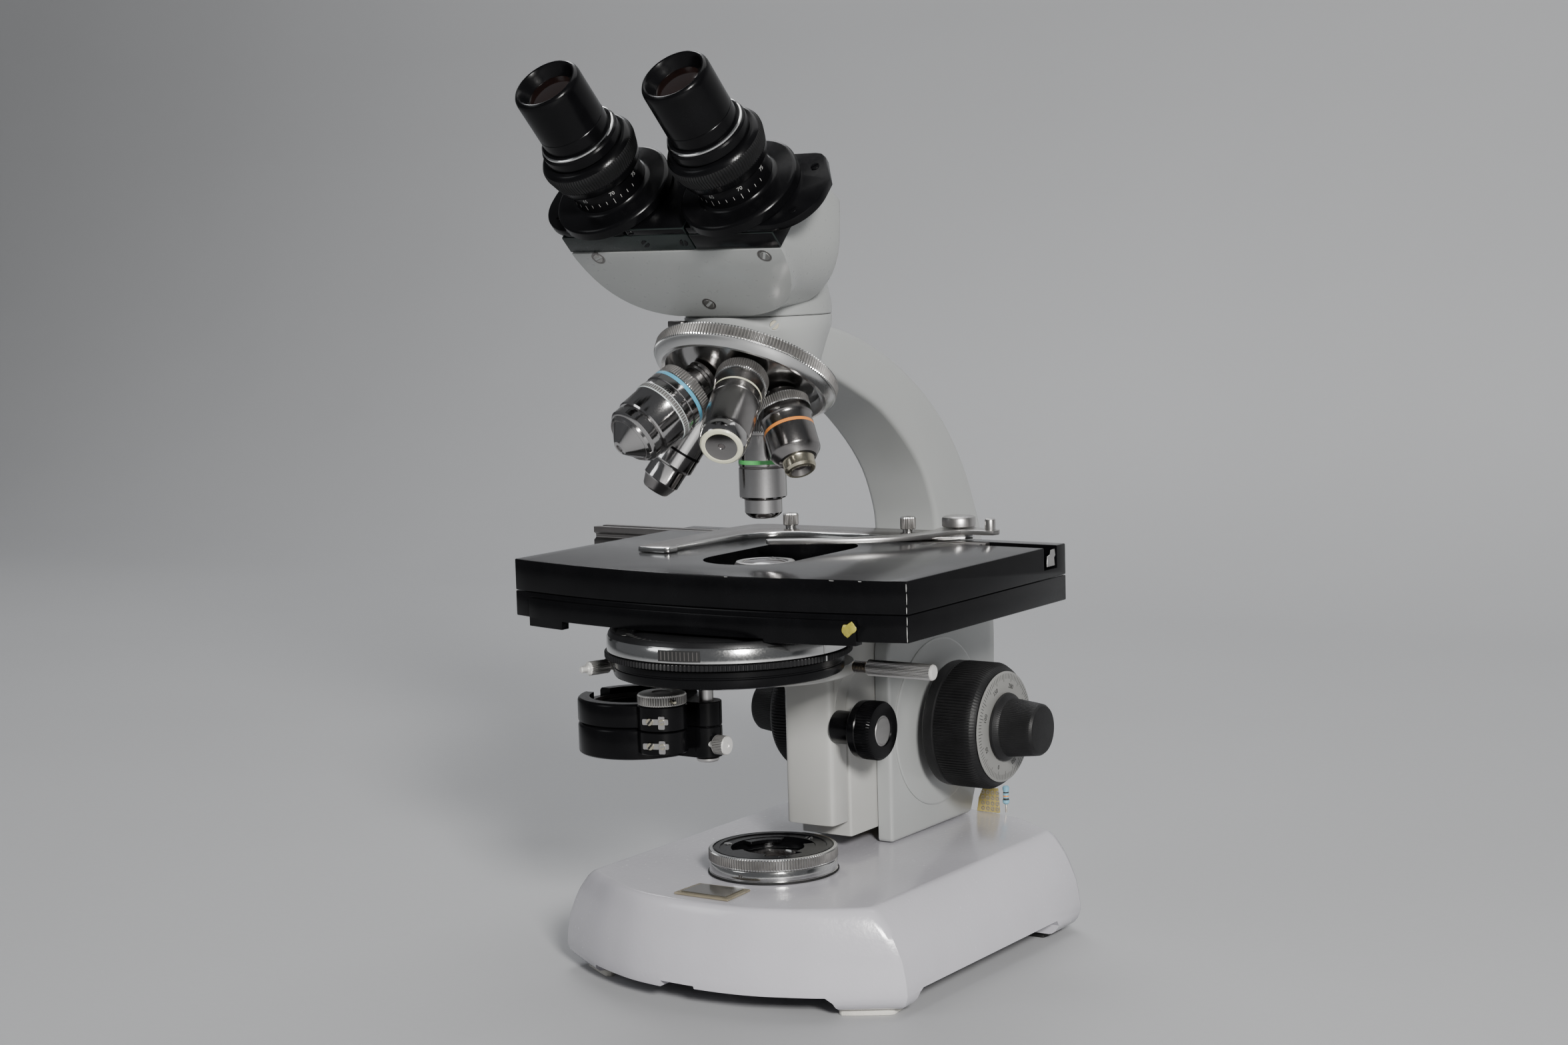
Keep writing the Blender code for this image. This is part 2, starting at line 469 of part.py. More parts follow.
# two discs that swing in under the condenser on one post
swing_post = build("swing_post", turned([(0, 91.0), (4.4, 91.0), (4.4, 92.8), (2.9, 92.9), (2.9, 121.2),
                                         (0, 121.2)], (*SWING_PIVOT, 0), steps=24), paint="satin_steel")
CONTROL = (-19.0, -46.0)       # round lobe that carries the knurled ring
for tag, low, high, lobe_low in (("upper", 105.6, 115.2, 105.65), ("lower", 93.2, 105.3, 96.5)):
    at = (*SWING_PIVOT, (low + high) / 2)
    disc = build("swing_disc_" + tag, turned([
        (0, low), (SWING_R - 1, low), (SWING_R, low + 1), (SWING_R, high - 0.6), (SWING_R - 0.6, high),
        (0, high)], (*SWING_DISC, 0), steps=32), at, "black_paint")
    plus(disc, box(-34.0, SWING_PIVOT[0], SWING_PIVOT[1] - 6.0, SWING_PIVOT[1] + 6.0, low + 0.1, high - 0.1), "arm")
    plus(disc, rod(6.05, low + 0.05, high - 0.05, at=(*SWING_PIVOT, 0), steps=24), "hub")
    plus(disc, rod(9.7, lobe_low, high - 0.02, at=(*CONTROL, 0), steps=24), "lobe")
    minus(disc, rod(2.95, 80, 130, at=(*SWING_PIVOT, 0), steps=24), "pivot")
    minus(disc, rod(19.5, high - 4.0, high + 2, at=(*SWING_DISC, 0), steps=32), "recess")
    minus(disc, rod(14.0, 80, 130, at=(*SWING_DISC, 0), steps=24), "aperture")

control = build("aperture_ring", turned([(0, 115.5), (9.7, 115.5), (9.7, 119.4), (9.0, 120.0), (0, 120.0)],
                                        (*CONTROL, 0), steps=24), (*CONTROL, 117), "chrome")
THUMB = (0, -35.0, 98.7)
minus(bpy.data.objects["swing_disc_lower"], rod(1.7, -6.0, 0.0, THUMB, (1, 0, 0), 16), "thumb_bore")
thumb = build("thumb_screw", turned([(0, -5.6), (1.5, -5.6), (1.5, -2.0), (3.8, -1.8), (3.8, 0.8),
                                     (3.4, 1.2), (0, 1.2)], THUMB, (1, 0, 0), 22), (-1, -35.0, 98.7),
              "satin_steel")

# ================================================================ nosepiece
turret = build("nosepiece_ring", turned([
    (0, 14.6), (29.5, 14.6), (30.0, 16.2), (35.8, 16.5), (36.8, 17.2), (36.8, 21.6), (35.6, 22.2), (33.4, 25.0),
    (31.2, 25.0), (30.4, 20.0), (27.4, 20.0), (3.5, 33.8), (0, 34.4)],
    APEX, NOSE, 40), APEX, "chrome")

# station number and profile as radius / distance from the apex
OBJECTIVES = {
    "objective_d": (0, [(0, 31.8), (7.5, 31.8), (7.5, 35.0), (10.5, 35.3), (10.5, 40.8), (9.5, 41.8), (9.5, 67.2),
                        (7.5, 68.0), (7.5, 73.4), (5.0, 75.2), (0, 75.4)]),
    "objective_e": (1, [(0, 31.8), (7.2, 31.8), (7.2, 35.0), (10.7, 35.3), (10.7, 43.0), (9.9, 44.0), (9.9, 57.4),
                        (7.4, 60.6), (5.8, 61.2), (5.8, 64.8), (4.6, 65.8), (0, 65.8)]),
    "objective_c": (2, [(0, 31.8), (8.0, 31.8), (8.0, 34.0), (10.4, 34.3), (10.4, 40.0), (9.6, 41.0), (9.6, 70.4),
                        (8.9, 75.0), (7.5, 76.8), (0, 76.9)]),
    "objective_a": (3, [(0, 31.8), (6.6, 31.8), (6.6, 39.6), (11.8, 41.4), (13.0, 43.0), (13.0, 62.0), (11.4, 67.4),
                        (9.6, 71.6), (4.2, 78.8), (0, 79.2)]),
    "objective_b": (4, [(0, 31.8), (7.5, 31.8), (7.5, 35.0), (10.4, 35.3), (10.4, 40.8), (9.0, 41.8), (9.0, 64.4),
                        (7.6, 65.2), (7.6, 72.0), (5.6, 76.4), (0, 76.9)]),
}


def objective_axis(index):
    """The optical axis of station `index`; station 0 points straight down."""
    turn = Matrix.Rotation(math.radians(360.0 / OBJECTIVE_COUNT * index), 3, NOSE)
    return turn @ Vector((0, 0, -1))


for name, (index, profile) in OBJECTIVES.items():
    axis = objective_axis(index)
    lens = build(name, turned(profile, APEX, axis, 20), APEX,
                 "chrome" if name != "objective_c" else "satin_steel")

# ================================================================ head
# the housing: a U seen from the front, narrowing downwards like a bowl behind its sloped face
HEAD_HALF, HEAD_DEEP = 48.7, 35.8


def housing_ring(z):
    """Level section of the housing, run out forwards past the sloped face."""
    drop = min(1.0, max(0.0, (HEAD_Z - z) / HEAD_DEEP))
    face = HEAD_HALF * (1.0 - drop ** 3) ** 0.333
    rear = 0.955 * (face / HEAD_HALF) ** 1.5
    front = HEAD_Y + HEAD_Z - z + 1.5
    wide = HEAD_HALF * rear
    half = [(face, -120.0), (face, front), (face + 0.75 * (wide - face), front + 0.35 * (-16.0 * rear - front)),
            (wide, -16.0 * rear), (46.2 * rear, -9.0 * rear), (38.5 * rear, 0.8 * rear),
            (25.0 * rear, 12.5 * rear), (10.0 * rear, 18.2 * rear)]
    return [Vector((x, y, z)) for x, y in half] + [Vector((-x, y, z)) for x, y in reversed(half)]


TOP_PLANE = FACE + TUBE * -14.6
drum = loft([housing_ring(z) for z in (264.8, 266.2, 268.5, 271.5, 275.5, 280.5, 286.5, 293.0, HEAD_Z, 325.0)])
drum = cut_plane(drum, FACE, -BACK)
drum = cut_plane(drum, TOP_PLANE, TUBE)
drum = cut_plane(drum, TOP_PLANE + BACK * 38.0, Vector((0, 0.55, 1.0)))
housing = build("prism_housing", drum, (0, 0, SEAM_Z), "head_paint")
plus(housing, turned([(0, SEAM_Z + 0.25), (NECK_R, SEAM_Z + 0.25), (NECK_R - 0.6, 270.0), (26.0, 279.0),
                      (22.0, 288.0), (0, 288.0)], steps=32), "neck")
minus(housing, rod(11.0, 255, 285, steps=24), "light_bore")



def head_slab(outline, low, high):
    """Extrude (x, back) points between two heights along the tube direction."""
    return slab(outline, low, high, u=(1, 0, 0), v=BACK, at=FACE)


bridge = build("bridge_plate", head_slab([(-48.8, 0.4), (48.2, 0.4), (48.2, 24.0), (44.0, 34.0), (36.0, 37.5),
                                          (-36.0, 37.5), (-44.0, 34.0), (-48.8, 24.0)], -14.2, -6.3),
               (0, 0, SEAM_Z), "black_paint")
plus(bridge, head_slab([(-17.2, 0.6), (10.0, 0.6), (10.0, 37.0), (-17.2, 37.0)], -7.0, -3.1), "middle")

for tag, side, tip, inner in (("l", -1, 60.0, 18.4), ("r", 1, 64.5, 11.2)):
    eye = FACE + Vector((side * TUBE_HALF_SPACING, 0, 0)) + BACK * TUBE_BACK
    end = [(side * (tip - 18.6 + x), TUBE_BACK + 0.8 + y) for x, y in arc(0, 0, 18.6, -90, 90, 10)]
    outline = end + [(side * inner, TUBE_BACK + 19.4), (side * inner, TUBE_BACK - 17.8)]
    plate_obj = build("tube_plate_" + tag, head_slab(outline, -6.0, -2.7), eye, "black_paint")
    plus(plate_obj, turned([(0, -2.8), (23.4, -2.8), (23.4, 1.4), (22.6, 2.0), (14.6, 2.0), (14.6, 11.8), (0, 11.8)],
                           eye, TUBE, 28), "flange")
    minus(plate_obj, rod(11.8, -12, 20, eye, TUBE, 28), "bore")
    build("tube_ring_" + tag, turned([
        (11.8, 12.1), (16.6, 12.1), (17.2, 12.8), (18.9, 20.4), (18.9, 22.0), (17.4, 24.8), (11.8, 24.8)],
        eye, TUBE, 28, closed=True), eye, "black_paint")
    build("eyepiece_" + tag, turned([
        (0, 0.0), (11.2, 0.0), (11.2, 25.1), (15.6, 25.1), (15.6, 29.2), (14.6, 30.2), (13.3, 30.4),
        (13.3, 54.6), (12.6, EYE_OUT), (11.2, 55.4), (8.6, 52.0), (0, 51.0)], eye, TUBE, 28), eye,
        "black_paint")

print("objects:", len(parts.objects))
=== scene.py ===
"""Looks of the binocular microscope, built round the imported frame.

Lengths are millimetres measured from the optical axis (x, y) and the bench (z);
W() turns them into the frame's metres.
"""
import math

import bmesh
import bpy
from mathutils import Matrix, Vector


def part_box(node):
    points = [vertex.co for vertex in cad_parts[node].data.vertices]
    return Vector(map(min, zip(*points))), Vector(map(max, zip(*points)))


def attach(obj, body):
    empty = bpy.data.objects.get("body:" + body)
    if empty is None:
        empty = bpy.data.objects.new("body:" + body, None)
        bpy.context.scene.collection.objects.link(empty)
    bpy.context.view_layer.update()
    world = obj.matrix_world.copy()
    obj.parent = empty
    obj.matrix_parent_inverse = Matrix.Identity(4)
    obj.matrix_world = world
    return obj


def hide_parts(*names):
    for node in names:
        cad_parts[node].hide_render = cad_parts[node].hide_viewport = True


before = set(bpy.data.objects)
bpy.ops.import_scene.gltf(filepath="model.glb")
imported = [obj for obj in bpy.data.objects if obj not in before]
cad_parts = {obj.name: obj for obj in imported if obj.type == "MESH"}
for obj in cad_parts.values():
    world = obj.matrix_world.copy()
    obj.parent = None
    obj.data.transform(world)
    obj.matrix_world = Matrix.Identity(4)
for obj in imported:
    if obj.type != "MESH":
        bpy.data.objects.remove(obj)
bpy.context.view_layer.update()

MM = 0.001
AXIS = (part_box("objective_d")[0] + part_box("objective_d")[1]) / 2
OX, OY = AXIS.x, AXIS.y


def W(p):
    return Vector((OX + p[0] * MM, OY + p[1] * MM, p[2] * MM))


X, Y, Z = Vector((1, 0, 0)), Vector((0, 1, 0)), Vector((0, 0, 1))
TUBE = Vector((0.0, -1.0, 1.0)).normalized()      # the way the eyepieces point
BACK = Vector((0.0, 1.0, 1.0)).normalized()       # square to it, to the rear
FACE = Vector((0.0, -65.3, 299.9))                # middle of the head's front face
APEX = Vector((0.0, 0.0, 259.1))
TILT = math.radians(30.0)
NOSE = Vector((0.0, -math.sin(TILT), -math.cos(TILT)))
FOCUS = Vector((0, 99.0, 87.0))                   # focus shaft
RACK_KNOB = (0, 32, 95.2)                         # shaft of the condenser's rack knob
DRIVE = (-77, 58, 0)                              # shaft of the two stage knobs
RESISTOR_AT = (33.0, 133.2, 0)
INDEX = 264.7 + 90                                # bearing of the turret's index mark
EASE = 0.22                                       # chamfer of a turned corner
STAGE_TOP, STAGE_SPLIT, STAGE_BOTTOM = 168.4, 155.9, 145.5
STAGE_HALF, STAGE_FRONT, STAGE_BOW = 91.8, -43.8, 13.0   # half width, front corners, bulge of the front
HEAD_HALF = 48.7                                  # half width of the prism housing
TUBE_X, TUBE_SET = 28.9, 18.2                     # tube axes: off centre, behind the front face
FOOT_TOP_HALF, SKIRT_HALF = 67.0, 81.0            # half widths of the foot, top face and skirt


# =============================================================== materials
def shader(name, colour, metallic=0.0, rough=0.4, tint=0.06, spots=60.0, bump=0.0, grain=900.0, vary=0.08, coat=0.0,
    stretch=(1, 1, 1), specular=0.5, distance=0.00015, sheen=0.0):
    """Principled material whose colour, roughness and bump come from noise."""
    mat = bpy.data.materials.new(name)
    mat.use_nodes = True
    tree, links = mat.node_tree, mat.node_tree.links
    put = tree.nodes["Principled BSDF"].inputs
    for key, value in (("Metallic", metallic), ("Coat Weight", coat), ("Coat Roughness", 0.12), ("IOR", 1.45),
        ("Specular IOR Level", specular), ("Sheen Weight", sheen)):
        put[key].default_value = value
    where = tree.nodes.new("ShaderNodeTexCoord")
    scale = tree.nodes.new("ShaderNodeMapping")
    scale.inputs["Scale"].default_value = stretch
    links.new(where.outputs["Object"], scale.inputs["Vector"])

    def noise(size, detail):
        node = tree.nodes.new("ShaderNodeTexNoise")
        node.inputs["Scale"].default_value = size
        node.inputs["Detail"].default_value = detail
        links.new(scale.outputs["Vector"], node.inputs["Vector"])
        return node.outputs["Fac"]

    wide = noise(spots, 4.0)
    ramp = tree.nodes.new("ShaderNodeValToRGB")
    ends = ramp.color_ramp.elements
    ends[0].position, ends[1].position = 0.3, 0.72
    ends[0].color = (*[c * (1 - tint) for c in colour], 1)
    ends[1].color = (*[min(1, c * (1 + tint)) for c in colour], 1)
    links.new(wide, ramp.inputs["Fac"])
    links.new(ramp.outputs["Color"], put["Base Color"])
    fine = noise(grain, 3.0)
    spread = tree.nodes.new("ShaderNodeMapRange")
    spread.inputs["To Min"].default_value = max(0.03, rough - vary)
    spread.inputs["To Max"].default_value = min(1.0, rough + vary)
    links.new(fine, spread.inputs["Value"])
    links.new(spread.outputs["Result"], put["Roughness"])
    if bump:
        relief = tree.nodes.new("ShaderNodeBump")
        relief.inputs["Strength"].default_value = bump
        relief.inputs["Distance"].default_value = distance
        links.new(fine, relief.inputs["Height"])
        links.new(relief.outputs["Normal"], put["Normal"])
    return mat


GREY = shader("enamel_grey", (0.36, 0.37, 0.365), rough=0.32, bump=0.10, grain=520, tint=0.025, spots=25, coat=0.25)
# The head has the limb's grey paint; this darker copy is painted shade for its front face, which faces down.
GREY_SHADED_HEAD = shader("enamel_grey_painted_shade_head", (0.30, 0.31, 0.305), rough=0.30, bump=0.10, grain=520, tint=0.025, spots=25,
    coat=0.25)
CREAM = shader("enamel_pale", (0.46, 0.46, 0.44), rough=0.36, bump=0.10, grain=600, tint=0.03, spots=40, coat=0.2)
LILAC = shader("enamel_hammer", (0.53, 0.52, 0.56), rough=0.24, bump=0.24, grain=620, tint=0.03, spots=30, coat=0.5,
    distance=0.0003)
BLACK = shader("lacquer_black", (0.0035, 0.0035, 0.004), rough=0.22, bump=0.05, grain=700, tint=0.25, spots=80,
    specular=0.16)
MATT = shader("matt_black", (0.0085, 0.0085, 0.009), rough=0.48, bump=0.25, grain=2200, tint=0.25, spots=150,
    specular=0.35)
PLATE = shader("plate_green_black", (0.012, 0.017, 0.016), rough=0.30, bump=0.06, grain=900, tint=0.2, specular=0.4)
ANOD = shader("anodised_black", (0.014, 0.014, 0.015), metallic=0.25, rough=0.34, bump=0.08, grain=1500, tint=0.2,
    specular=0.4)
CHROME = shader("chrome", (0.70, 0.70, 0.69), metallic=1.0, rough=0.13, vary=0.06, bump=0.03, grain=1600, tint=0.03)
KNURL = shader("chrome_knurled", (0.66, 0.66, 0.65), metallic=1.0, rough=0.22, vary=0.08, bump=0.06, grain=1800)
SATIN = shader("satin_steel", (0.52, 0.51, 0.50), metallic=1.0, rough=0.33, vary=0.07, bump=0.12, grain=900,
    stretch=(1, 1, 7), tint=0.05)
DARKSTEEL = shader("dark_steel", (0.20, 0.19, 0.185), metallic=0.9, rough=0.36, bump=0.1, grain=1300, tint=0.15)
TOPFACE = shader("stage_face", (0.050, 0.050, 0.052), rough=0.17, vary=0.05, bump=0.03, grain=420, stretch=(1, 5, 1),
    tint=0.2, spots=45, specular=0.6)
SILVER = shader("dial_silver", (0.25, 0.25, 0.24), metallic=0.1, rough=0.40, bump=0.06, grain=1700, tint=0.03)
BRASS = shader("brass", (0.66, 0.50, 0.25), metallic=1.0, rough=0.30, bump=0.1, grain=1300, tint=0.1)
BRASSY = shader("nickel_warm", (0.60, 0.56, 0.44), metallic=1.0, rough=0.24, bump=0.05, grain=1400, tint=0.06)
FELT = shader("felt", (0.72, 0.70, 0.64), rough=0.95, bump=0.8, grain=2600, tint=0.12, distance=0.0004, sheen=0.3)
RUBBER = shader("rubber", (0.010, 0.010, 0.010), rough=0.62, bump=0.2, grain=1500, tint=0.2)
GLASS = shader("lens_glass", (0.06, 0.05, 0.05), rough=0.05, vary=0.02, coat=1.0, tint=0.1, specular=0.9)
AMBER = shader("lens_amber", (0.010, 0.0045, 0.0035), rough=0.05, vary=0.02, coat=1.0, tint=0.25, specular=0.9,
    spots=120)
PLATEGLASS = shader("plate_glass", (0.085, 0.078, 0.062), rough=0.16, coat=0.6, tint=0.25, spots=160, bump=0.08,
    grain=500)
EDGING = shader("plate_edging", (0.24, 0.21, 0.15), rough=0.45, tint=0.15, spots=200, bump=0.2, grain=900)
# Darker copies of chrome and satin steel for the objectives: painted shade that dims their reflections.
CHROME_SHADED_LENS = shader("lens_chrome_painted_shade", (0.50, 0.49, 0.485), metallic=1.0, rough=0.13, vary=0.05, bump=0.03, grain=1600,
    tint=0.03)
HOLDFACE = shader("holder_face", (0.27, 0.255, 0.245), metallic=1.0, rough=0.22, vary=0.05, bump=0.05, grain=1300,
    tint=0.06)
NICKEL = shader("screw_nickel", (0.34, 0.335, 0.32), metallic=0.9, rough=0.30, vary=0.06, bump=0.06, grain=1500,
    tint=0.06)
STEEL_SHADED_LENS = shader("lens_steel_painted_shade", (0.29, 0.28, 0.275), metallic=1.0, rough=0.20, vary=0.06, bump=0.10, grain=900,
    stretch=(1, 1, 7), tint=0.05)
# Dark material for the valleys of knurls: painted shade in the grooves.
GROOVE_PAINTED_SHADE = shader("knurl_groove_painted_shade", (0.16, 0.155, 0.15), metallic=0.6, rough=0.5, tint=0.2, spots=300)
BRIGHT = shader("bright_steel", (0.80, 0.79, 0.76), metallic=0.55, rough=0.42, vary=0.08, bump=0.12, grain=1900,
    tint=0.05)
# Black print; the same black is painted shade on the floors of screw slots and in the grub screw's socket.
INK_AND_RECESS_SHADE = shader("ink_black_and_recess_shade", (0.02, 0.02, 0.02), rough=0.5, tint=0.1)
WHITE = shader("ink_white", (0.80, 0.80, 0.78), rough=0.5, tint=0.05)
DIM = shader("ink_grey", (0.36, 0.36, 0.35), rough=0.5, tint=0.1)
BLUE = shader("ring_blue", (0.10, 0.36, 0.52), rough=0.30, tint=0.08, coat=0.3)
PALEBLUE = shader("ring_pale", (0.62, 0.68, 0.68), rough=0.36, tint=0.08)
ORANGE = shader("ring_orange", (0.72, 0.25, 0.05), rough=0.34, tint=0.08, coat=0.3)
GREEN = shader("ring_green", (0.10, 0.52, 0.14), rough=0.30, tint=0.08, coat=0.3)
IVORY = shader("ring_ivory", (0.70, 0.69, 0.52), rough=0.34, tint=0.06, coat=0.2)
GREASE = shader("old_grease", (0.34, 0.30, 0.05), rough=0.28, tint=0.2, spots=300, bump=0.5, grain=700, coat=0.5)
BOARD = shader("circuit_board", (0.42, 0.34, 0.12), rough=0.5, tint=0.12, spots=200)
COPPER = shader("solder", (0.55, 0.50, 0.42), metallic=0.9, rough=0.35, tint=0.1)
RESISTOR = shader("resistor_body", (0.20, 0.42, 0.55), rough=0.35, tint=0.1, coat=0.3)
# Darker copy of chrome for the nosepiece's cone, which faces down: painted shade that dims its reflection of the
# floor.
CHROME_SHADED_NOSE = shader("nose_chrome_painted_shade", (0.38, 0.375, 0.37), metallic=1.0, rough=0.20, vary=0.05, bump=0.03, grain=1500,
    tint=0.04)
FLOOR = shader("floor", (0.44, 0.445, 0.455), rough=0.55, tint=0.015, spots=4, bump=0.05, grain=300)


# =============================================================== shape helpers
def finish_mesh(name, bm, mats, body, replaces=(), angle=35.0, keep=False):
    """A millimetre bmesh becomes a piece that rides on `body`."""
    bmesh.ops.remove_doubles(bm, verts=bm.verts, dist=2e-4)
    bmesh.ops.recalc_face_normals(bm, faces=bm.faces)
    bm.transform(Matrix.Translation(Vector((OX, OY, 0))) @ Matrix.Scale(MM, 4))
    mesh = bpy.data.meshes.new(name)
    bm.to_mesh(mesh)
    bm.free()
    obj = bpy.data.objects.new(name, mesh)
    bpy.context.scene.collection.objects.link(obj)
    for m in (mats if isinstance(mats, (list, tuple)) else [mats]):
        mesh.materials.append(m)
    mesh.polygons.foreach_set("use_smooth", [True] * len(mesh.polygons))
    mesh.set_sharp_from_angle(angle=math.radians(angle))
    if keep:
        return obj
    return settle(obj, body, replaces)


def settle(obj, body, replaces=()):
    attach(obj, body)
    if replaces:
        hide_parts(*replaces)
    return obj


def combine(obj, other, how, angle=35.0):
    """Applies an exact Boolean with `other`, which is removed."""
    mod = obj.modifiers.new("b", "BOOLEAN")
    mod.operation, mod.solver, mod.object = how, "EXACT", other
    bpy.context.view_layer.update()
    done = bpy.data.meshes.new_from_object(obj.evaluated_get(bpy.context.evaluated_depsgraph_get()))
    obj.modifiers.clear()
    obj.data = done
    bpy.data.objects.remove(other, do_unlink=True)
    done.polygons.foreach_set("use_smooth", [True] * len(done.polygons))
    done.set_sharp_from_angle(angle=math.radians(angle))
    return obj


def sides(axis):
    axis = Vector(axis).normalized()
    side = Vector((1, 0, 0)) if abs(axis.x) < 0.9 else Vector((0, 1, 0))
    side = (side - axis * side.dot(axis)).normalized()
    return axis, side, axis.cross(side).normalized()


def soften(profile, ease):
    """Chamfers the corners of a profile, so that its edges catch the light."""
    out = [profile[0]]
    for a, b, c in zip(profile, profile[1:], profile[2:]):
        p, q, r = Vector(a[:2]), Vector(b[:2]), Vector(c[:2])
        u, v = p - q, r - q
        if u.length < 2.4 * ease or v.length < 2.4 * ease or u.angle(v, 3.2) > 2.75:
            out.append(b)
            continue
        first, second = q + u.normalized() * ease, q + v.normalized() * ease
        out.append((first.x, first.y, *(a[2:])))
        out.append((second.x, second.y, *(b[2:])))
    out.append(profile[-1])
    return out


def revolve(bm, profile, at, axis, steps, ease=0, groove=None):
    """Profile rows are (radius, height, material, tooth depth) from one end to the other.

    A row with a tooth depth drops two of every four steps; `groove` is the material of those steps, painted shade in
    the knurl valleys.
    A profile that starts and ends off the axis is closed into a ring.
    """
    axis, side, up = sides(axis)
    at = Vector(at)
    rows = []
    prof = [(*p, *(0, 0)[len(p) - 2:]) for p in profile]
    prof = soften(prof, ease) if ease else prof
    for r, h, m, depth in prof:
        if r < 1e-6:
            rows.append([bm.verts.new(at + axis * h)])
            continue
        ring = []
        for k in range(steps):
            nudge = (0.28, -0.28, -0.1, 0.1)[k % 4] if depth or groove is not None else 0.0
            a = 2 * math.pi * (k + nudge) / steps
            rr = r - (depth if k % 4 > 1 else 0)
            ring.append(bm.verts.new(at + axis * h + (side * math.cos(a) + up * math.sin(a)) * rr))
        rows.append(ring)
    order = list(range(len(rows)))
    pairs = list(zip(order, order[1:]))
    if min(prof[0][0], prof[-1][0]) > 0:
        pairs.append((order[-1], 0))
    for i, j in pairs:
        low, high, m = rows[i], rows[j], prof[i][2]
        toothed = groove is not None and prof[i][3] and prof[j][3]
        for k in range(steps):
            n = (k + 1) % steps
            if len(low) == 1 and len(high) == 1:
                break
            if len(low) == 1:
                f = bm.faces.new((low[0], high[n], high[k]))
            elif len(high) == 1:
                f = bm.faces.new((low[k], low[n], high[0]))
            else:
                f = bm.faces.new((low[k], low[n], high[n], high[k]))
            f.material_index = groove if toothed and k % 4 else m
    return bm


def turn(name, profile, at, axis, body, mats, replaces=(), steps=96, ease=0, angle=35.0, keep=False,
    groove=None):
    """A turned piece; `groove` adds a dark material for the valleys of its knurls: painted shade."""
    bm = bmesh.new()
    mats = list(mats)
    if groove is not None:
        mats.append(groove)
        groove = len(mats) - 1
    revolve(bm, profile, at, axis, steps, ease, groove)
    return finish_mesh(name, bm, mats, body, replaces, angle, keep)


def prism(bm, outline, low, high, u=X, v=Y, at=(0, 0, 0), mat=0, top=None):
    u, v, at = Vector(u).normalized(), Vector(v).normalized(), Vector(at)
    w = u.cross(v).normalized()
    lower = [bm.verts.new(at + u * a + v * b + w * low) for a, b in outline]
    upper = [bm.verts.new(at + u * a + v * b + w * high) for a, b in outline]
    faces = [bm.faces.new(list(reversed(lower))), bm.faces.new(upper)]
    for k in range(len(outline)):
        m = (k + 1) % len(outline)
        faces.append(bm.faces.new((lower[k], lower[m], upper[m], upper[k])))
    for f in faces:
        f.material_index = mat
    if top is not None:
        faces[1].material_index = top
    return bm


def bevel(bm, width, segments=2, angle=28.0):
    bm.normal_update()
    edges = [e for e in bm.edges if len(e.link_faces) == 2 and e.calc_face_angle(0) > math.radians(angle)]
    bmesh.ops.bevel(bm, geom=edges, offset=width, segments=segments, profile=0.5, affect="EDGES", clamp_overlap=True)
    return bm


def plate(name, outline, low, high, body, mats, replaces=(), u=X, v=Y, at=(0, 0, 0), edge=0.4, segments=2,
    keep=False, top=None, angle=35.0, sharp=28.0):
    """A prism whose edges sharper than `sharp` are eased."""
    bm = bmesh.new()
    prism(bm, outline, low, high, u, v, at, top=top)
    if edge:
        bevel(bm, edge, segments, sharp)
    return finish_mesh(name, bm, mats, body, replaces, angle, keep)


def cut(obj, outline, low, high, u=X, v=Y, at=(0, 0, 0), angle=35.0):
    """Removes a prism from a piece."""
    tool = plate("cutter", outline, low, high, None, [LILAC], u=u, v=v, at=at, edge=0, keep=True)
    return combine(obj, tool, "DIFFERENCE", angle)


def join(obj, name, profile, at, steps, mats, angle=35.0):
    """Adds an upright turned solid to a piece."""
    tool = turn(name, profile, at, Z, None, mats, steps=steps, keep=True)
    return combine(obj, tool, "UNION", angle)


def loft(bm, rings):
    """Closes a stack of like rings into a solid."""
    rows = [[bm.verts.new(p) for p in ring] for ring in rings]
    bm.faces.new(list(reversed(rows[0])))
    bm.faces.new(rows[-1])
    for low, high in zip(rows, rows[1:]):
        for k in range(len(low)):
            m = (k + 1) % len(low)
            bm.faces.new((low[k], low[m], high[m], high[k]))


def arc(cx, cy, r, start, stop, count):
    return [(cx + r * math.cos(math.radians(start + (stop - start) * k / count)),
        cy + r * math.sin(math.radians(start + (stop - start) * k / count))) for k in range(count + 1)]


def rounded(x0, x1, y0, y1, r, count=5):
    return (arc(x1 - r, y1 - r, r, 0, 90, count) + arc(x0 + r, y1 - r, r, 90, 180, count) + arc(x0 + r, y0 + r, r, 180,
        270, count) + arc(x1 - r, y0 + r, r, 270, 360, count))


def smooth_line(points, per=4):
    """Catmull-Rom curve through (a, b) points."""
    last = len(points) - 1
    out = []
    for i in range(last):
        a, b, c, d = [Vector(points[max(0, min(last, j))]) for j in (i - 1, i, i + 1, i + 2)]
        for k in range(per):
            t = k / per
            q = 0.5 * ((2 * b) + (c - a) * t + (2 * a - 5 * b + 4 * c - d) * t * t + (3 * b - a - 3 * c + d) * t ** 3)
            out.append((q.x, q.y))
    out.append(tuple(points[-1]))
    return out


def slice_off(bm, point, normal):
    geom = bm.verts[:] + bm.edges[:] + bm.faces[:]
    out = bmesh.ops.bisect_plane(bm, geom=geom, plane_co=Vector(point), plane_no=Vector(normal), clear_outer=True,
        dist=1e-5)
    edges = [e for e in out["geom_cut"] if isinstance(e, bmesh.types.BMEdge)]
    bmesh.ops.holes_fill(bm, edges=edges, sides=0)
    return bm


def round_about(side, up, deg):
    """Outward and sideways directions at an angle about an axis."""
    a = math.radians(deg)
    return side * math.cos(a) + up * math.sin(a), up * math.cos(a) - side * math.sin(a)


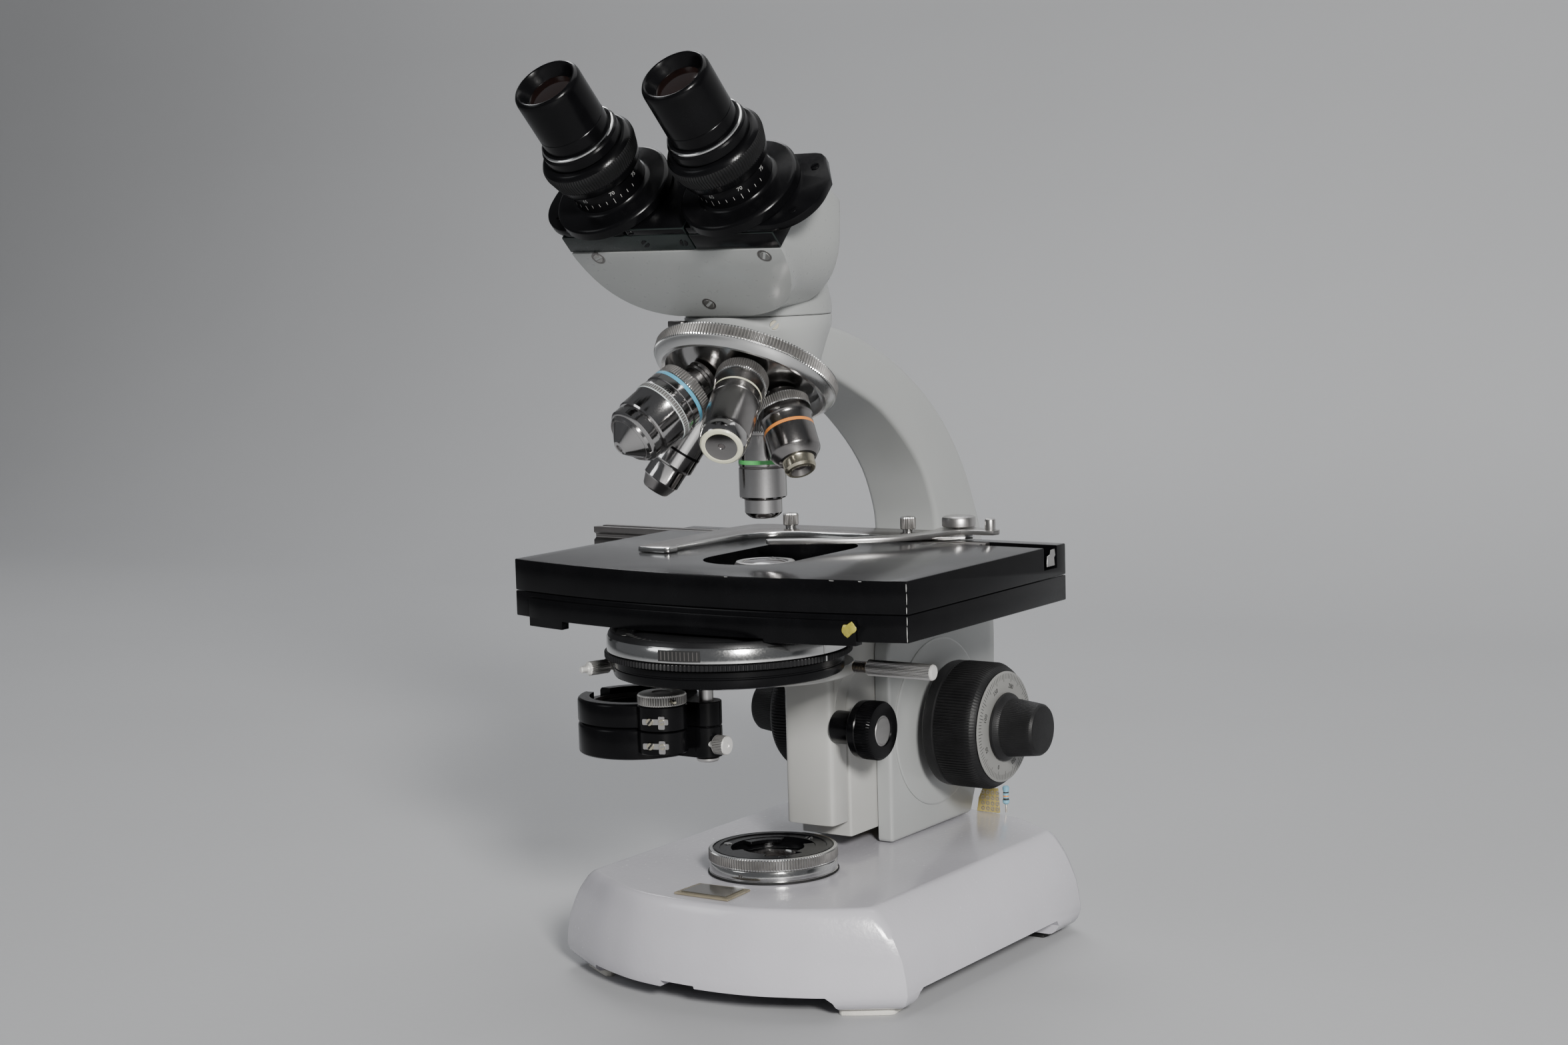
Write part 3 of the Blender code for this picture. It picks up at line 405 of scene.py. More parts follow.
def slotted(bm, at, axis, r, high, turned):
    """A slotted screw head: a low disc of material 1 with two raised halves; material 1 shows in the slot as painted
    shade.
    """
    floor_at, half = high - 0.45, r * 0.28
    axis, side, up = sides(axis)
    s, t = round_about(side, up, turned)
    revolve(bm, [(0, -0.4, 1), (r * 0.96, -0.4), (r * 0.96, floor_at, 1), (0, floor_at, 1)], at, axis, 28)
    lim = math.degrees(math.asin(half / r))
    for sign in (1, -1):
        pts = arc(0, 0, r, lim, 180 - lim, 12)
        inner = [(x * 0.93, max(half, y * 0.93)) for x, y in pts]
        rows = []
        for ring, h in ((pts, floor_at - 0.02), (pts, high - 0.18), (inner, high)):
            rows.append([bm.verts.new(Vector(at) + s * (x * sign) + t * (y * sign) + axis * h) for x, y in ring])
        for low, top_row in zip(rows, rows[1:]):
            for k in range(len(pts)):
                n = (k + 1) % len(pts)
                bm.faces.new((low[k], low[n], top_row[n], top_row[k]))
        bm.faces.new(rows[-1])
    return bm


def screws(name, items, body, mats):
    bm = bmesh.new()
    for at, axis, r, high, turned in items:
        slotted(bm, at, axis, r, high, turned)
    return finish_mesh(name, bm, mats, body, angle=30)


def marks(name, quads, body, mat):
    """Flat printed marks: each is four points."""
    bm = bmesh.new()
    for quad in quads:
        bm.faces.new([bm.verts.new(Vector(p)) for p in quad])
    return finish_mesh(name, bm, mat, body)


def ring_ticks(at, axis, radii, angles, width, lift=0.0):
    """Radial ticks on a disc: radii is (inner, outer) or a function of the index."""
    axis, side, up = sides(axis)
    out = []
    for i, deg in enumerate(angles):
        d, e = round_about(side, up, deg)
        r0, r1 = radii(i) if callable(radii) else radii
        c = Vector(at) + axis * lift
        out.append([c + d * r0 - e * width / 2, c + d * r1 - e * width / 2, c + d * r1 + e * width / 2,
            c + d * r0 + e * width / 2])
    return out


def barrel_ticks(at, axis, radius, angles, heights, width):
    """Axial ticks on a barrel: heights is (low, high) or a function of the index."""
    axis, side, up = sides(axis)
    out = []
    for i, deg in enumerate(angles):
        d, e = round_about(side, up, deg)
        h0, h1 = heights(i) if callable(heights) else heights
        p, q = Vector(at) + axis * h0 + d * radius, Vector(at) + axis * h1 + d * radius
        out.append([p - e * width / 2, q - e * width / 2, q + e * width / 2, p + e * width / 2])
    return out


def numeral(name, text, size, at, right, up, body, mat):
    """A printed numeral, centred on `at`."""
    curve = bpy.data.curves.new(name, "FONT")
    curve.body, curve.size = text, size * MM
    curve.align_x = curve.align_y = "CENTER"
    curve.extrude = 0.00002
    curve.resolution_u = 3
    tmp = bpy.data.objects.new(name + "_t", curve)
    bpy.context.scene.collection.objects.link(tmp)
    bpy.context.view_layer.update()
    mesh = bpy.data.meshes.new_from_object(tmp.evaluated_get(bpy.context.evaluated_depsgraph_get()))
    bpy.data.objects.remove(tmp, do_unlink=True)
    bpy.data.curves.remove(curve)
    right, up = Vector(right).normalized(), Vector(up).normalized()
    out = right.cross(up)
    place = Matrix((right, up, out)).transposed().to_4x4()
    place.translation = W(at)
    mesh.transform(place)
    obj = bpy.data.objects.new(name, mesh)
    bpy.context.scene.collection.objects.link(obj)
    mesh.materials.clear()
    mesh.materials.append(mat)
    return settle(obj, body)


def repaint(node, mat):
    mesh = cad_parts[node].data
    mesh.materials.clear()
    mesh.materials.append(mat)


# =============================================================== the foot
TOP_FRONT = [(0, -57.5), (14, -56.8), (26, -55), (36, -51.7), (45, -47.5), (54, -42), (60.5, -38), (65.6, -34.4)]
TOP_BACK = [(66.4, 112.4), (52, 122.5), (39.6, 129.4), (19.4, 134), (0, 136)]
LOW_FRONT = [(0, -62), (15, -61.2), (29, -58.8), (42, -54.3), (52, -50), (64, -43.2), (72, -38.2), (79.4, -33.4)]
LOW_BACK = [(80.2, 111), (60, 125), (44, 132.8), (22, 138), (0, 140)]
MID = 39.25


def foot_half(front, back, half):
    return smooth_line(front, 3) + [(half, -32.4), (half, -30), (half, 0), (half, 40), (half, 80),
        (half, 109)] + smooth_line(back, 3)


def foot_ring(z, spread, inset):
    """Plan of the foot: spread 0 is the top face, 1 the widest part of the skirt."""
    half = [(a[0] + (b[0] - a[0]) * spread, a[1] + (b[1] - a[1]) * spread) for a, b in zip(foot_half(TOP_FRONT,
        TOP_BACK, FOOT_TOP_HALF), foot_half(LOW_FRONT, LOW_BACK, SKIRT_HALF))]
    line = half + [(-x, y) for x, y in reversed(half[1:-1])]
    return [Vector((x * (1 - inset / FOOT_TOP_HALF), MID + (y - MID) * (1 - inset / 96.7), z)) for x, y in line]


bm = bmesh.new()
levels = [(2.8, 1, 4.6), (3.1, 1, 3.4), (4.4, 1, 1.9), (6.4, 1, 0.7), (9, 1, 0), (13, 0.979, 0), (17.5, 0.925, 0),
    (22, 0.857, 0), (26, 0.73, 0), (30, 0.593, 0), (33, 0.464, 0), (36.2, 0.29, 0), (38.6, 0.15, 0.05),
    (39.9, 0.07, 0.3), (40.8, 0.02, 0.75), (41.3, 0, 1.4), (41.5, 0, 2.3)]
loft(bm, [foot_ring(*level) for level in levels])
foot = finish_mesh("foot_casting", bm, [LILAC], "stand", keep=True, angle=40)
cut(foot, rounded(-46, 46, -46, 124, 8), -1, 36.5, angle=40)
cut(foot, rounded(-66, 66, -18, 90, 6), -1, 36.0, angle=40)
cut(foot, [(-28, -5), (91, -5), (90.6, 7), (88, 9.6), (-20.6, 9.6), (-22.4, 8.6)], -120, 120, u=Y, v=Z, angle=40)
cut(foot, [(-57, -5), (57, -5), (56.6, 6.4), (54.4, 8.8), (3.4, 8.8), (3, 9.9), (-12.9, 9.9), (-13.3, 7.4),
    (-54.4, 7.2), (-56.6, 5.2)], 20, 200, u=X, v=Z, angle=40)
cut(foot, [(-57, -5), (57, -5), (56.6, 6.4), (54.4, 8.8), (-54.4, 8.8), (-56.6, 6.4)], -200, -100, u=X, v=Z, angle=40)
settle(foot, "stand", ["base_casting"])
PAD = [(54.2, -19.9), (54.2, -38.6), (56, -39.8), (60.6, -37.4), (71.6, -30.8), (73, -28.6), (71.8, -19.9)]
for tag, sx in (("l", -1), ("r", 1)):
    plate("pad_front_" + tag, [(sx * x, y) for x, y in PAD][::-sx], 0.0, 2.5, "stand", FELT, ["foot_f" + tag],
        edge=0.3)
    repaint("foot_r" + tag, RUBBER)

# plate lying on the foot
plate("foot_plate_edge", [(-12.6, -51), (12.8, -51), (11.6, -33.6), (-12, -34.6)], 41.6, 42.5, "stand", EDGING,
    ["glass_plate"], edge=0.2, segments=1)
plate("foot_plate_glass", [(-10.4, -49.2), (10.6, -49.2), (9.8, -35.6), (-10, -36.4)], 42.3, 42.9, "stand", PLATEGLASS,
    edge=0.15, segments=1)

# field ring
turn("field_seat", [(13, 41.6), (26.1, 41.6), (26.5, 42), (26.1, 42.5, 1), (25.4, 42.7, 1), (25.7, 43, 1),
    (25.7, 46.4, 1), (25.1, 46.8, 1), (13, 46.8, 1)], (0, 0, 0), Z, "stand", [RUBBER, CHROME],
    ["field_ring_seat"], steps=128, ease=EASE)
turn("field_knurl", [(24.9, 46.9), (25.6, 46.9), (26, 47.3, 0, 0.45), (26, 51, 0, 0.45), (25.5, 51.45),
    (24.4, 51.6, 1), (23.9, 51.35, 1), (23.5, 51.6, 1), (21.6, 51.6, 1), (21.3, 51.2, 1), (17, 51.2, 1), (17, 46.9)],
    (0, 0, 0), Z, "field_ring", [KNURL, BLACK], ["field_ring"], steps=560, angle=30, groove=GROOVE_PAINTED_SHADE)
bm = bmesh.new()
for k in range(3):
    a0 = 90 + 120 * k + 18
    outer, inner = arc(0, 0, 17.1, a0, a0 + 62, 12), arc(0, 0, 12.4, a0 + 62, a0, 12)
    prism(bm, outer + inner, 49.6, 51.0)
bevel(bm, 0.25, 1)
finish_mesh("field_bayonet", bm, BLACK, "field_ring")
turn("field_bore", [(16.9, 47), (16.4, 47), (16.4, 49.4), (16.9, 49.4)], (0, 0, 0), Z, "field_ring", [BLACK],
    steps=96)
screws("field_ring_screws", [((19.3 * math.cos(math.radians(a)), 19.3 * math.sin(math.radians(a)), 51.1), Z, 1.7, 0.35,
    a + 30) for a in (75, 195, 315)], "field_ring", [CHROME, INK_AND_RECESS_SHADE])
screws("field_seat_screw", [((1.5, -25.6, 44.6), -Y, 0.9, 0.25, 90)], "stand", [DARKSTEEL, INK_AND_RECESS_SHADE])
turn("field_glass", [(0, 39.2), (12.6, 39.2), (12.6, 42), (9, 44.2), (4.6, 45.4), (0, 45.7)], (0, 0, 0), Z, "stand",
    [GLASS], ["field_lens"], steps=72, ease=EASE)

# scrap of circuit board and its resistor behind the arm
plate("board_scrap", [(20, 41.6), (31, 41.6), (30.2, 52.4), (23, 52), (21, 47.6)], -131.6, -130.2, "stand", BOARD,
    u=X, v=Z, edge=0.1, segments=1)
bm = bmesh.new()
for i in range(4):
    for j in range(4):
        revolve(bm, [(0.42, -0.1), (0.95, -0.1), (0.95, 0.05), (0.42, 0.05)], (23.2 + 2.4 * i, 130.15, 43.2 + 2.4 * j),
            -Y, 12)
finish_mesh("board_pads", bm, COPPER, "stand")
turn("board_resistor", [(0, 45.2), (0.9, 45.3), (1.5, 46), (1.5, 47.2, 1), (1.25, 47.4, 1), (1.25, 48),
    (1.25, 48.6, 2), (1.25, 49.2), (1.25, 50.2, 1), (1.25, 50.8), (1.25, 51.4), (1.5, 51.6), (1.5, 52.8), (0.9, 53.4),
    (0, 53.5)], RESISTOR_AT, Z, "stand", [RESISTOR, INK_AND_RECESS_SHADE, ORANGE], steps=24)
turn("board_lead", [(0, 41.6), (0.35, 41.6), (0.35, 45.4), (0, 45.4)], RESISTOR_AT, Z, "stand", [COPPER],
    steps=10)
for node, mat in (("lamp_module", SATIN), ("focus_rack", BRASS), ("condenser_rack", BRASS), ("coarse_shaft", SATIN),
    ("fine_shaft", SATIN)):
    repaint(node, mat)

# =============================================================== limb
outer = smooth_line([(151, 112), (151, 132), (149.4, 148), (146.6, 163.5), (142.7, 174), (135.6, 188.6),
    (124.7, 204.4), (111.6, 218.2), (96, 230.2), (79, 240.4), (62, 248.2), (44.6, 254.4), (29, 258.2), (8, 262)], 3)
inner = smooth_line([(8, 247), (22, 240.5), (44, 231.6), (65.7, 221.5), (85, 207.2), (98, 193.5), (105, 180.3),
    (107.8, 170), (107.6, 160), (104, 149.5), (96, 140.5), (84, 134.4), (70, 130.9), (63.5, 128.6), (60.6, 124.5),
    (60, 118)], 3)
low_back = [(60, 41.8), (127, 41.8), (132.5, 54), (141, 70), (148.5, 90)]
limb = plate("limb_casting", outer + inner + low_back, -16.2, 16.2, "stand", [GREY], u=Y, v=Z, edge=2.6, segments=4,
    sharp=60, keep=True, angle=32)
block_back = smooth_line([(126.8, 41.8), (132.2, 54), (140.6, 70), (148, 90), (150.4, 112), (149.6, 128),
    (146, 138.5)], 3)
block_top = smooth_line([(120, 146.5), (104.6, 149.8), (96, 140.2), (84, 134.1), (70, 130.6), (63.5, 128.2),
    (60.5, 124), (60, 117)], 3)
combine(limb, plate("block", block_back + block_top + [(60.02, 41.8)], -19.5, 19.5, "stand", [GREY], u=Y, v=Z,
    edge=1.6, segments=3, sharp=50, keep=True), "UNION", 32)
bm = bmesh.new()
revolve(bm, [(0, 214), (14, 215), (19, 224), (22, 235), (24.6, 247), (27, 254.6), (28.5, 258.6), (29, 261.4),
    (29, 263.4), (28.7, 263.7), (0, 263.7)], (0, 0, 0), Z, 96)
slice_off(bm, APEX + NOSE * 14.2, NOSE)
combine(limb, finish_mesh("bowl", bm, [GREY], "stand", keep=True), "UNION", 32)
cut(limb, rounded(-12.7, 12.7, 40, 80.0, 1.0, 2), 39, 152, angle=32)
cut(limb, rounded(-6.3, 6.3, 78, 86.5, 1.0, 2), 39, 152, angle=32)
settle(limb, "stand", ["limb"])
for tag, side in (("r", 1), ("l", -1)):
    turn("shaft_cover_" + tag, [(8.4, 19.55), (35.7, 19.55), (35.7, 20), (35, 20.35), (8.4, 20.35)], FOCUS, X * side,
        "stand", [GREY], ["focus_cover_" + tag], steps=128, ease=EASE)
BOWL_AT, BOWL_OUT = (20.65, -19.8, 260.6), (0.718, -0.688, -0.10)
screws("limb_screw", [(BOWL_AT, BOWL_OUT, 1.8, 0.45, 35)], "stand", [BRASSY, INK_AND_RECESS_SHADE])
turn("limb_screw_seat", [(1.9, -0.3), (2.5, -0.3), (2.5, 0.12), (1.9, 0.12)], BOWL_AT, BOWL_OUT, "stand", [GREY],
    steps=40)
plate("limb_lug", [(-28.9, -15), (-17.4, -22), (-19.6, -25), (-31.1, -18)], 259.6, 262.4, "stand", DARKSTEEL,
    edge=0.6)

# =============================================================== focus knobs
for tag, side in (("r", 1), ("l", -1)):
    axis = X * side
    turn("coarse_" + tag, [(8, 26.2), (24.6, 26.2), (26.3, 27.4), (26.6, 28.6), (26.6, 31.6), (26, 32), (26, 32.6),
        (26.7, 33, 0, 0.75), (26.7, 46.6, 0, 0.75), (25.4, 48.9, 0, 0.3), (24.2, 50.4), (23.4, 51), (3.4, 51)], FOCUS,
        axis, "coarse", [MATT], ["coarse_knob_" + tag], steps=480, angle=30)
    turn("fine_" + tag, [(3.2, 52.2), (13.9, 52.2), (14.4, 52.7), (14.2, 53.6), (12.8, 54.8), (12.3, 55.6, 0, 0.16),
        (11.9, 60, 0, 0.16), (11.1, 67.2, 0, 0.16), (10.8, 69, 0, 0), (10, 70), (9.2, 70.2), (0, 70.2)], FOCUS, axis,
        "fine", [MATT], ["fine_knob_" + tag], steps=352, angle=30)
    # The socket of the grub screw (material 1) is painted shade.
    turn("fine_grub_" + tag, [(0, -0.5), (1.35, -0.5), (1.35, 0.06), (0.7, 0.06, 1), (0.6, -0.3, 1), (0, -0.3, 1)],
        FOCUS + X * side * 58.6 - Z * 11.6 + Y * -2.2, (0.05 * side, -0.2, -1), "fine", [DARKSTEEL, INK_AND_RECESS_SHADE],
        steps=20)
turn("focus_dial", [(3.4, 51.2), (23, 51.2), (23.3, 51.4), (23.3, 51.7), (23, 51.9), (14.8, 51.9), (3.4, 51.9)], FOCUS,
    X, "fine", [SILVER], ["fine_dial"], steps=160)
quads = ring_ticks(FOCUS, X, lambda i: (20.2 if i % 5 else 19.0, 22.4), [360 * i / 100 for i in range(100)], 0.22,
    51.95)
marks("focus_dial_ticks", quads, "fine", INK_AND_RECESS_SHADE)
for i in range(8):
    a = math.radians(250 - 45 * i)                      # seen from +X, 0 is towards +Y
    out = Vector((0, math.cos(a), math.sin(a)))
    numeral("focus_dial_%d" % (50 * i), str(50 * i), 2.7, FOCUS + X * 51.96 + out * 17.2, X.cross(out) * -1, out,
        "fine", INK_AND_RECESS_SHADE)

# =============================================================== stage carrier and condenser post
block = plate("carrier_block", rounded(-12.2, 12.2, 39.6, 79.5, 1.2, 3), 48.0, 145.2, "stage_carrier", [CREAM],
    sharp=50, keep=True)
cut(block, rounded(-6, 6, 60.1, 90, 0.5, 1), 40, 132)
settle(block, "stage_carrier", ["stage_carrier"])
plate("carrier_gib", [(12.25, 61), (12.6, 61), (12.6, 78), (12.25, 78)], 50.0, 118.0, "stage_carrier", SATIN,
    edge=0.05, segments=1)

post = smooth_line([(-11.4, 29.4), (-10.6, 27.6), (-7.5, 26.95), (0, 26.6), (7.5, 26.95), (10.6, 27.6), (11.4, 29.4)],
    3)
condenser = plate("condenser_post", post + [(11.4, 39), (-11.4, 39)], 54.5, 121.7, "condenser", [CREAM], edge=0.5,
    sharp=50, keep=True)
join(condenser, "ring", [(13, 121.5), (33.6, 121.5), (34.3, 122), (34.5, 122.8), (34.5, 125.4), (34, 126.15),
    (13, 126.15)], (0, 0, 0), 112, [CREAM])
for sx in (1, -1):                                         # webs that spread from the post into the ring
    web = smooth_line([(11.2 * sx, 96), (12 * sx, 106), (14.6 * sx, 114), (20.5 * sx, 119.6), (27 * sx, 121.9)], 4)
    combine(condenser, plate("web", web + [(8 * sx, 121.9), (8 * sx, 96)], -38.4, -30.5, "condenser", [CREAM], u=X,
        v=Z, edge=0, keep=True), "UNION")
settle(condenser, "condenser", ["condenser_carrier"])
turn("condenser_stub", [(0, 11.6), (6.6, 11.6), (6.8, 11.9), (6.8, 20.9), (6.6, 21.1), (0, 21.1)], RACK_KNOB, X,
    "condenser", [BLACK], ["rack_sleeve"], steps=72, ease=EASE)
turn("rack_control", [(0, 21.4), (6.2, 21.4), (7, 22.2), (10.6, 22.2), (11.7, 23.2), (11.9, 24.4), (11.9, 26.2),
    (11.6, 26.6), (12, 27, 0, 0.4), (12, 32.2, 0, 0.4), (11.2, 33.2), (10.6, 33.4), (6.4, 33.4), (6.1, 32.9, 1),
    (5.5, 32.9, 1), (5.3, 33.1, 1), (0, 33.1, 1)], RACK_KNOB, X, "rack_knob", [BLACK, SATIN],
    ["rack_knob"], steps=256, angle=30)

# =============================================================== condenser
DISC = Vector((0, -27.0, 0))
bm = bmesh.new()
revolve(bm, [(8, 126.5), (43.4, 126.5), (44.6, 127), (45, 127.8), (45, 130.2), (44.6, 130.5), (44.6, 130.9),
    (45, 131.2), (45, 133.2), (44.7, 133.6), (8, 133.6)], DISC, Z, 144)
finish_mesh("turret_pan", bm, [BLACK], "condenser", ["condenser_lower_ring"])
marks("turret_index", barrel_ticks(DISC, Z, 48.36, [INDEX], (134.3, 136.3), 0.9) + barrel_ticks(DISC, Z, 47.42,
    [INDEX], (137.1, 141.2), 0.7), "condenser", WHITE)
turn("turret_knurl", [(20, 134), (46.6, 134), (48, 134.2), (48.3, 134.4, 0, 0.55), (48.3, 136.2, 0, 0.55),
    (47.9, 136.45), (44.5, 136.5), (44.5, 140.5), (20, 140.5)], DISC, Z, "turret", [ANOD],
    ["turret_wheel"], steps=720, angle=30)
turn("turret_band", [(20, 136.7), (47, 136.7, 1), (47.35, 137, 1), (47.35, 142, 1), (47, 142.5, 1), (46.9, 142.7),
    (46.7, 143.6), (46, 144.6), (45.2, 144.8), (44.4, 144.2), (43.6, 143.4), (37.4, 143.2), (36.4, 143.9),
    (35.2, 144.4), (20, 144.6)], DISC, Z, "condenser", [ANOD, CHROME], ["condenser_cover"],
    steps=160)


def on_disc(deg, r, z):
    a = math.radians(deg)
    return DISC + Vector((math.cos(a), math.sin(a), 0)) * r + Z * z


marks("turret_window", [[on_disc(d, 47.42, 137.6), on_disc(d + 1, 47.42, 137.6), on_disc(d + 1, 47.42, 141.9),
    on_disc(d, 47.42, 141.9)] for d in range(-89, -68)], "condenser", INK_AND_RECESS_SHADE)
bm = bmesh.new()
for k in range(10):
    p = on_disc(-87.4 + 17.8 * k / 9, 47.35, 0)
    revolve(bm, [(0, 138), (0.30, 138.1), (0.30, 141.4), (0, 141.5)], p, Z, 8)
finish_mesh("turret_bars", bm, [DARKSTEEL], "condenser")
marks("turret_dots", ring_ticks(DISC, Z, (38.4, 40.0), [205 + 5 * i for i in range(27)], 0.5, 143.42), "condenser",
    DIM)
for i in range(7):
    a = math.radians(212 + 19 * i)
    out = Vector((math.cos(a), math.sin(a), 0))
    numeral("turret_num_%d" % i, str(i + 1), 2.6, DISC + out * 41.8 + Z * 143.5, Z.cross(out), out * -1, "condenser",
        DIM)
turn("condenser_barrel", [(9, 144.9), (20, 144.9), (20, 151.2), (13.4, 155.2), (13, 156), (13, 164.4), (12.4, 165, 1),
    (11.6, 166.6, 1), (9.4, 166.6, 1), (9, 166, 1)], (0, 0, 0), Z, "condenser", [ANOD, SATIN],
    ["condenser_head"], steps=96, ease=EASE)
turn("condenser_eye", [(0, 158), (8.9, 158), (8.9, 166.1), (6.5, 166.9), (0, 167.3)], (0, 0, 0), Z, "condenser",
    [GLASS], ["condenser_top_lens"], steps=64, ease=EASE)
# SATIN in the valleys of the knurl is painted shade.
turn("centring_r", [(0, 34.2, 1), (1.9, 34.2, 1), (1.9, 40.6, 1), (2.6, 40.8), (3.2, 41.2, 0, 0.22),
    (3.2, 69.8, 0, 0.22), (2.9, 70.4), (2.2, 70.8), (0, 70.8)], (0, 10, 125), X, "screw_r", [BRIGHT, BRASS],
    ["centring_screw_r"], steps=128, angle=28, groove=SATIN)
bm = bmesh.new()
for i in range(9):                                         # visible thread
    revolve(bm, [(1.6, -0.2), (2.35, 0.05), (2.35, 0.2), (1.6, 0.45)], (34.6 + 0.68 * i, 10, 125), X, 32)
finish_mesh("centring_thread", bm, [DARKSTEEL], "screw_r")
CLAMP, CDIR = Vector((-49.0, -40.2, 127.2)), Vector((-0.3, -0.95, 0)).normalized()
# SATIN in the valleys of the knurl is painted shade.
turn("clamp_l", [(0, 0.2), (2.3, 0.2), (2.8, 0.6, 0, 0.3), (2.8, 9.2, 0, 0.3), (2.3, 9.9), (1.4, 10.1), (1.3, 13),
    (0.9, 13.4), (0, 13.4)], CLAMP, CDIR, "screw_l", [BRIGHT], ["clamp_screw_l"], steps=96, angle=28,
    groove=SATIN)
plate("clamp_lug", [(-40, -31), (-50, -33.4), (-52.5, -36), (-51.4, -39.6), (-42, -40.6)], 125.4, 130.0, "condenser",
    CHROME, edge=0.5)

# =============================================================== swing-out discs
PIV, CON = Vector((-8.1, -31.8, 0)), Vector((-19.0, -46.0, 0))
CEN = Vector((-41.0, -31.7, 0))
turn("swing_pin", [(0, 91.2), (4, 91.2), (4.4, 91.6), (4.4, 92.7), (2.85, 92.9), (2.85, 121.3), (0, 121.3)], PIV, Z,
    "condenser", [SATIN], ["swing_post"], steps=48, ease=EASE)
for tag, low, high, lobe in (("upper", 105.6, 115.2, 105.7), ("lower", 93.2, 105.3, 96.5)):
    d = turn("swing_" + tag, [(0, low), (23.6, low), (24.2, low + 0.5), (24.3, low + 1), (24.3, high - 1.2),
        (24, high - 0.5), (23.4, high), (0, high)], CEN, Z, "aux_" + tag, [BLACK, CHROME], steps=120, keep=True)
    combine(d, plate("arm", [(-34, -37.6), (-8.1, -37.6), (-8.1, -25.9), (-34, -25.9)], low + 0.1, high - 0.1, None,
        [BLACK], edge=0, keep=True), "UNION")
    join(d, "hub", [(0, low + 0.04), (5.8, low + 0.04), (6.05, low + 0.3), (6.05, high - 0.3), (5.8, high - 0.04),
        (0, high - 0.04)], PIV, 48, [BLACK])
    join(d, "lobe", [(0, lobe), (9.4, lobe), (9.7, lobe + 0.3), (9.7, high - 0.3), (9.4, high - 0.02),
        (0, high - 0.02)], CON, 64, [BLACK])
    cut(d, arc(PIV.x, PIV.y, 2.95, 0, 350, 36), 80, 130)
    cut(d, arc(CEN.x, CEN.y, 19.5, 0, 356.25, 96), high - 4.0, high + 2)
    cut(d, arc(CEN.x, CEN.y, 14.0, 0, 355, 72), 80, 130)
    cut(d, [(-70, -36), (-58, -36), (-58, -26), (-70, -26)], high - 3.2, high + 2)
    settle(d, "aux_" + tag, ["swing_disc_" + tag])
    turn("swing_liner_" + tag, [(18.8, high - 3.9), (19.4, high - 3.9), (19.4, high - 2.6), (18.8, high - 2.6)], CEN,
        Z, "aux_" + tag, [DARKSTEEL], steps=96)
    mid = (max(lobe, low) + high) / 2
    front = Vector((0.34, -0.94, 0)).normalized()
    at = CON + front * 9.72 + Z * (mid - 0.6)
    b = bmesh.new()
    side_v = Z.cross(front)
    prism(b, rounded(-5.2, 5.2, -1.2, 1.2, 0.5, 3), 0.02, 0.55, u=side_v, v=Z, at=at)
    prism(b, rounded(-1.3, 1.3, -2.6, 2.6, 0.4, 2), 0.3, 1.0, u=side_v, v=Z, at=at + side_v * 2.6 - Z * 0.3)
    bevel(b, 0.12, 1)
    finish_mesh("swing_clip_" + tag, b, [SATIN], "aux_" + tag)
    screws("swing_screw_" + tag, [(at - side_v * 2.2 + front * 0.5, front, 1.45, 0.5, 50),
        (at + side_v * 2.7 + front * 1, front, 1.2, 0.3, 15)], "aux_" + tag, [BRASSY, INK_AND_RECESS_SHADE])
turn("aperture_knurl", [(0, 115.4), (9, 115.4), (9.6, 115.8, 0, 0.42), (9.6, 118.9, 0, 0.42), (9.2, 119.5),
    (8.4, 119.9), (4, 120), (3.6, 119.6), (0, 119.6)], CON, Z, "aux_ring", [BRIGHT], ["aperture_ring"],
    steps=240, angle=28, groove=GROOVE_PAINTED_SHADE)
turn("aperture_pin", [(0, 9), (0.85, 9), (0.85, 12.6), (0.5, 13), (0, 13)], CON + Z * 117.5, (0.86, -0.51, 0),
    "aux_ring", [BRASSY], steps=20, ease=EASE)
turn("thumb_knurl", [(0, -5.5), (1.5, -5.5), (1.5, -1.9), (3.4, -1.7), (3.8, -1.3, 0, 0.2), (3.8, 3.2, 0, 0.2),
    (3.4, 3.8), (1, 3.9), (0.8, 3.6), (0, 3.6)], (0, -35.0, 98.7), X, "aux_screw", [BRIGHT],
    ["thumb_screw"], steps=144, angle=28, groove=GROOVE_PAINTED_SHADE)

# =============================================================== stage
def edge_y(x):
    """Front edge of the stage."""
    return STAGE_FRONT - STAGE_BOW * (1 - (x / STAGE_HALF) ** 2)


front_line = [(STAGE_HALF * s, STAGE_FRONT - STAGE_BOW * (1 - s ** 2)) for s in [-1 + k / 12 for k in range(25)]]
top = plate("stage_table", front_line + [(STAGE_HALF, 80), (-STAGE_HALF, 80)], STAGE_SPLIT, STAGE_TOP, "y_plate",
    [BLACK, TOPFACE], top=1, edge=0.45, sharp=40, keep=True)
slot_line = arc(0, -8.0, 20.0, 180, 360, 28) + arc(0, 32.0, 20.0, 0, 180, 28)
cut(top, slot_line, 150, 175)
cut(top, [(-100, 61.5), (100, 61.5), (100, 72.5), (-100, 72.5)], 159.4, 180)
join(top, "boss", [(0, 143), (5.6, 143), (6, 143.4), (6, 157), (0, 157)], DRIVE, 48, [BLACK])
cut(top, arc(DRIVE[0], DRIVE[1], 2.6, 0, 348, 30), 140, 157.5)
settle(top, "y_plate", ["stage_upper_plate"])
low_plate = plate("stage_bed", front_line + [(STAGE_HALF, 80), (-62, 80), (-62, 7.5), (-STAGE_HALF, 7.5)],
    STAGE_BOTTOM, STAGE_SPLIT - 0.25, "stage_carrier", [BLACK], edge=0.45, sharp=40, keep=True)
cut(low_plate, arc(0, 0, 34, 0, 356, 90), 130, 170)


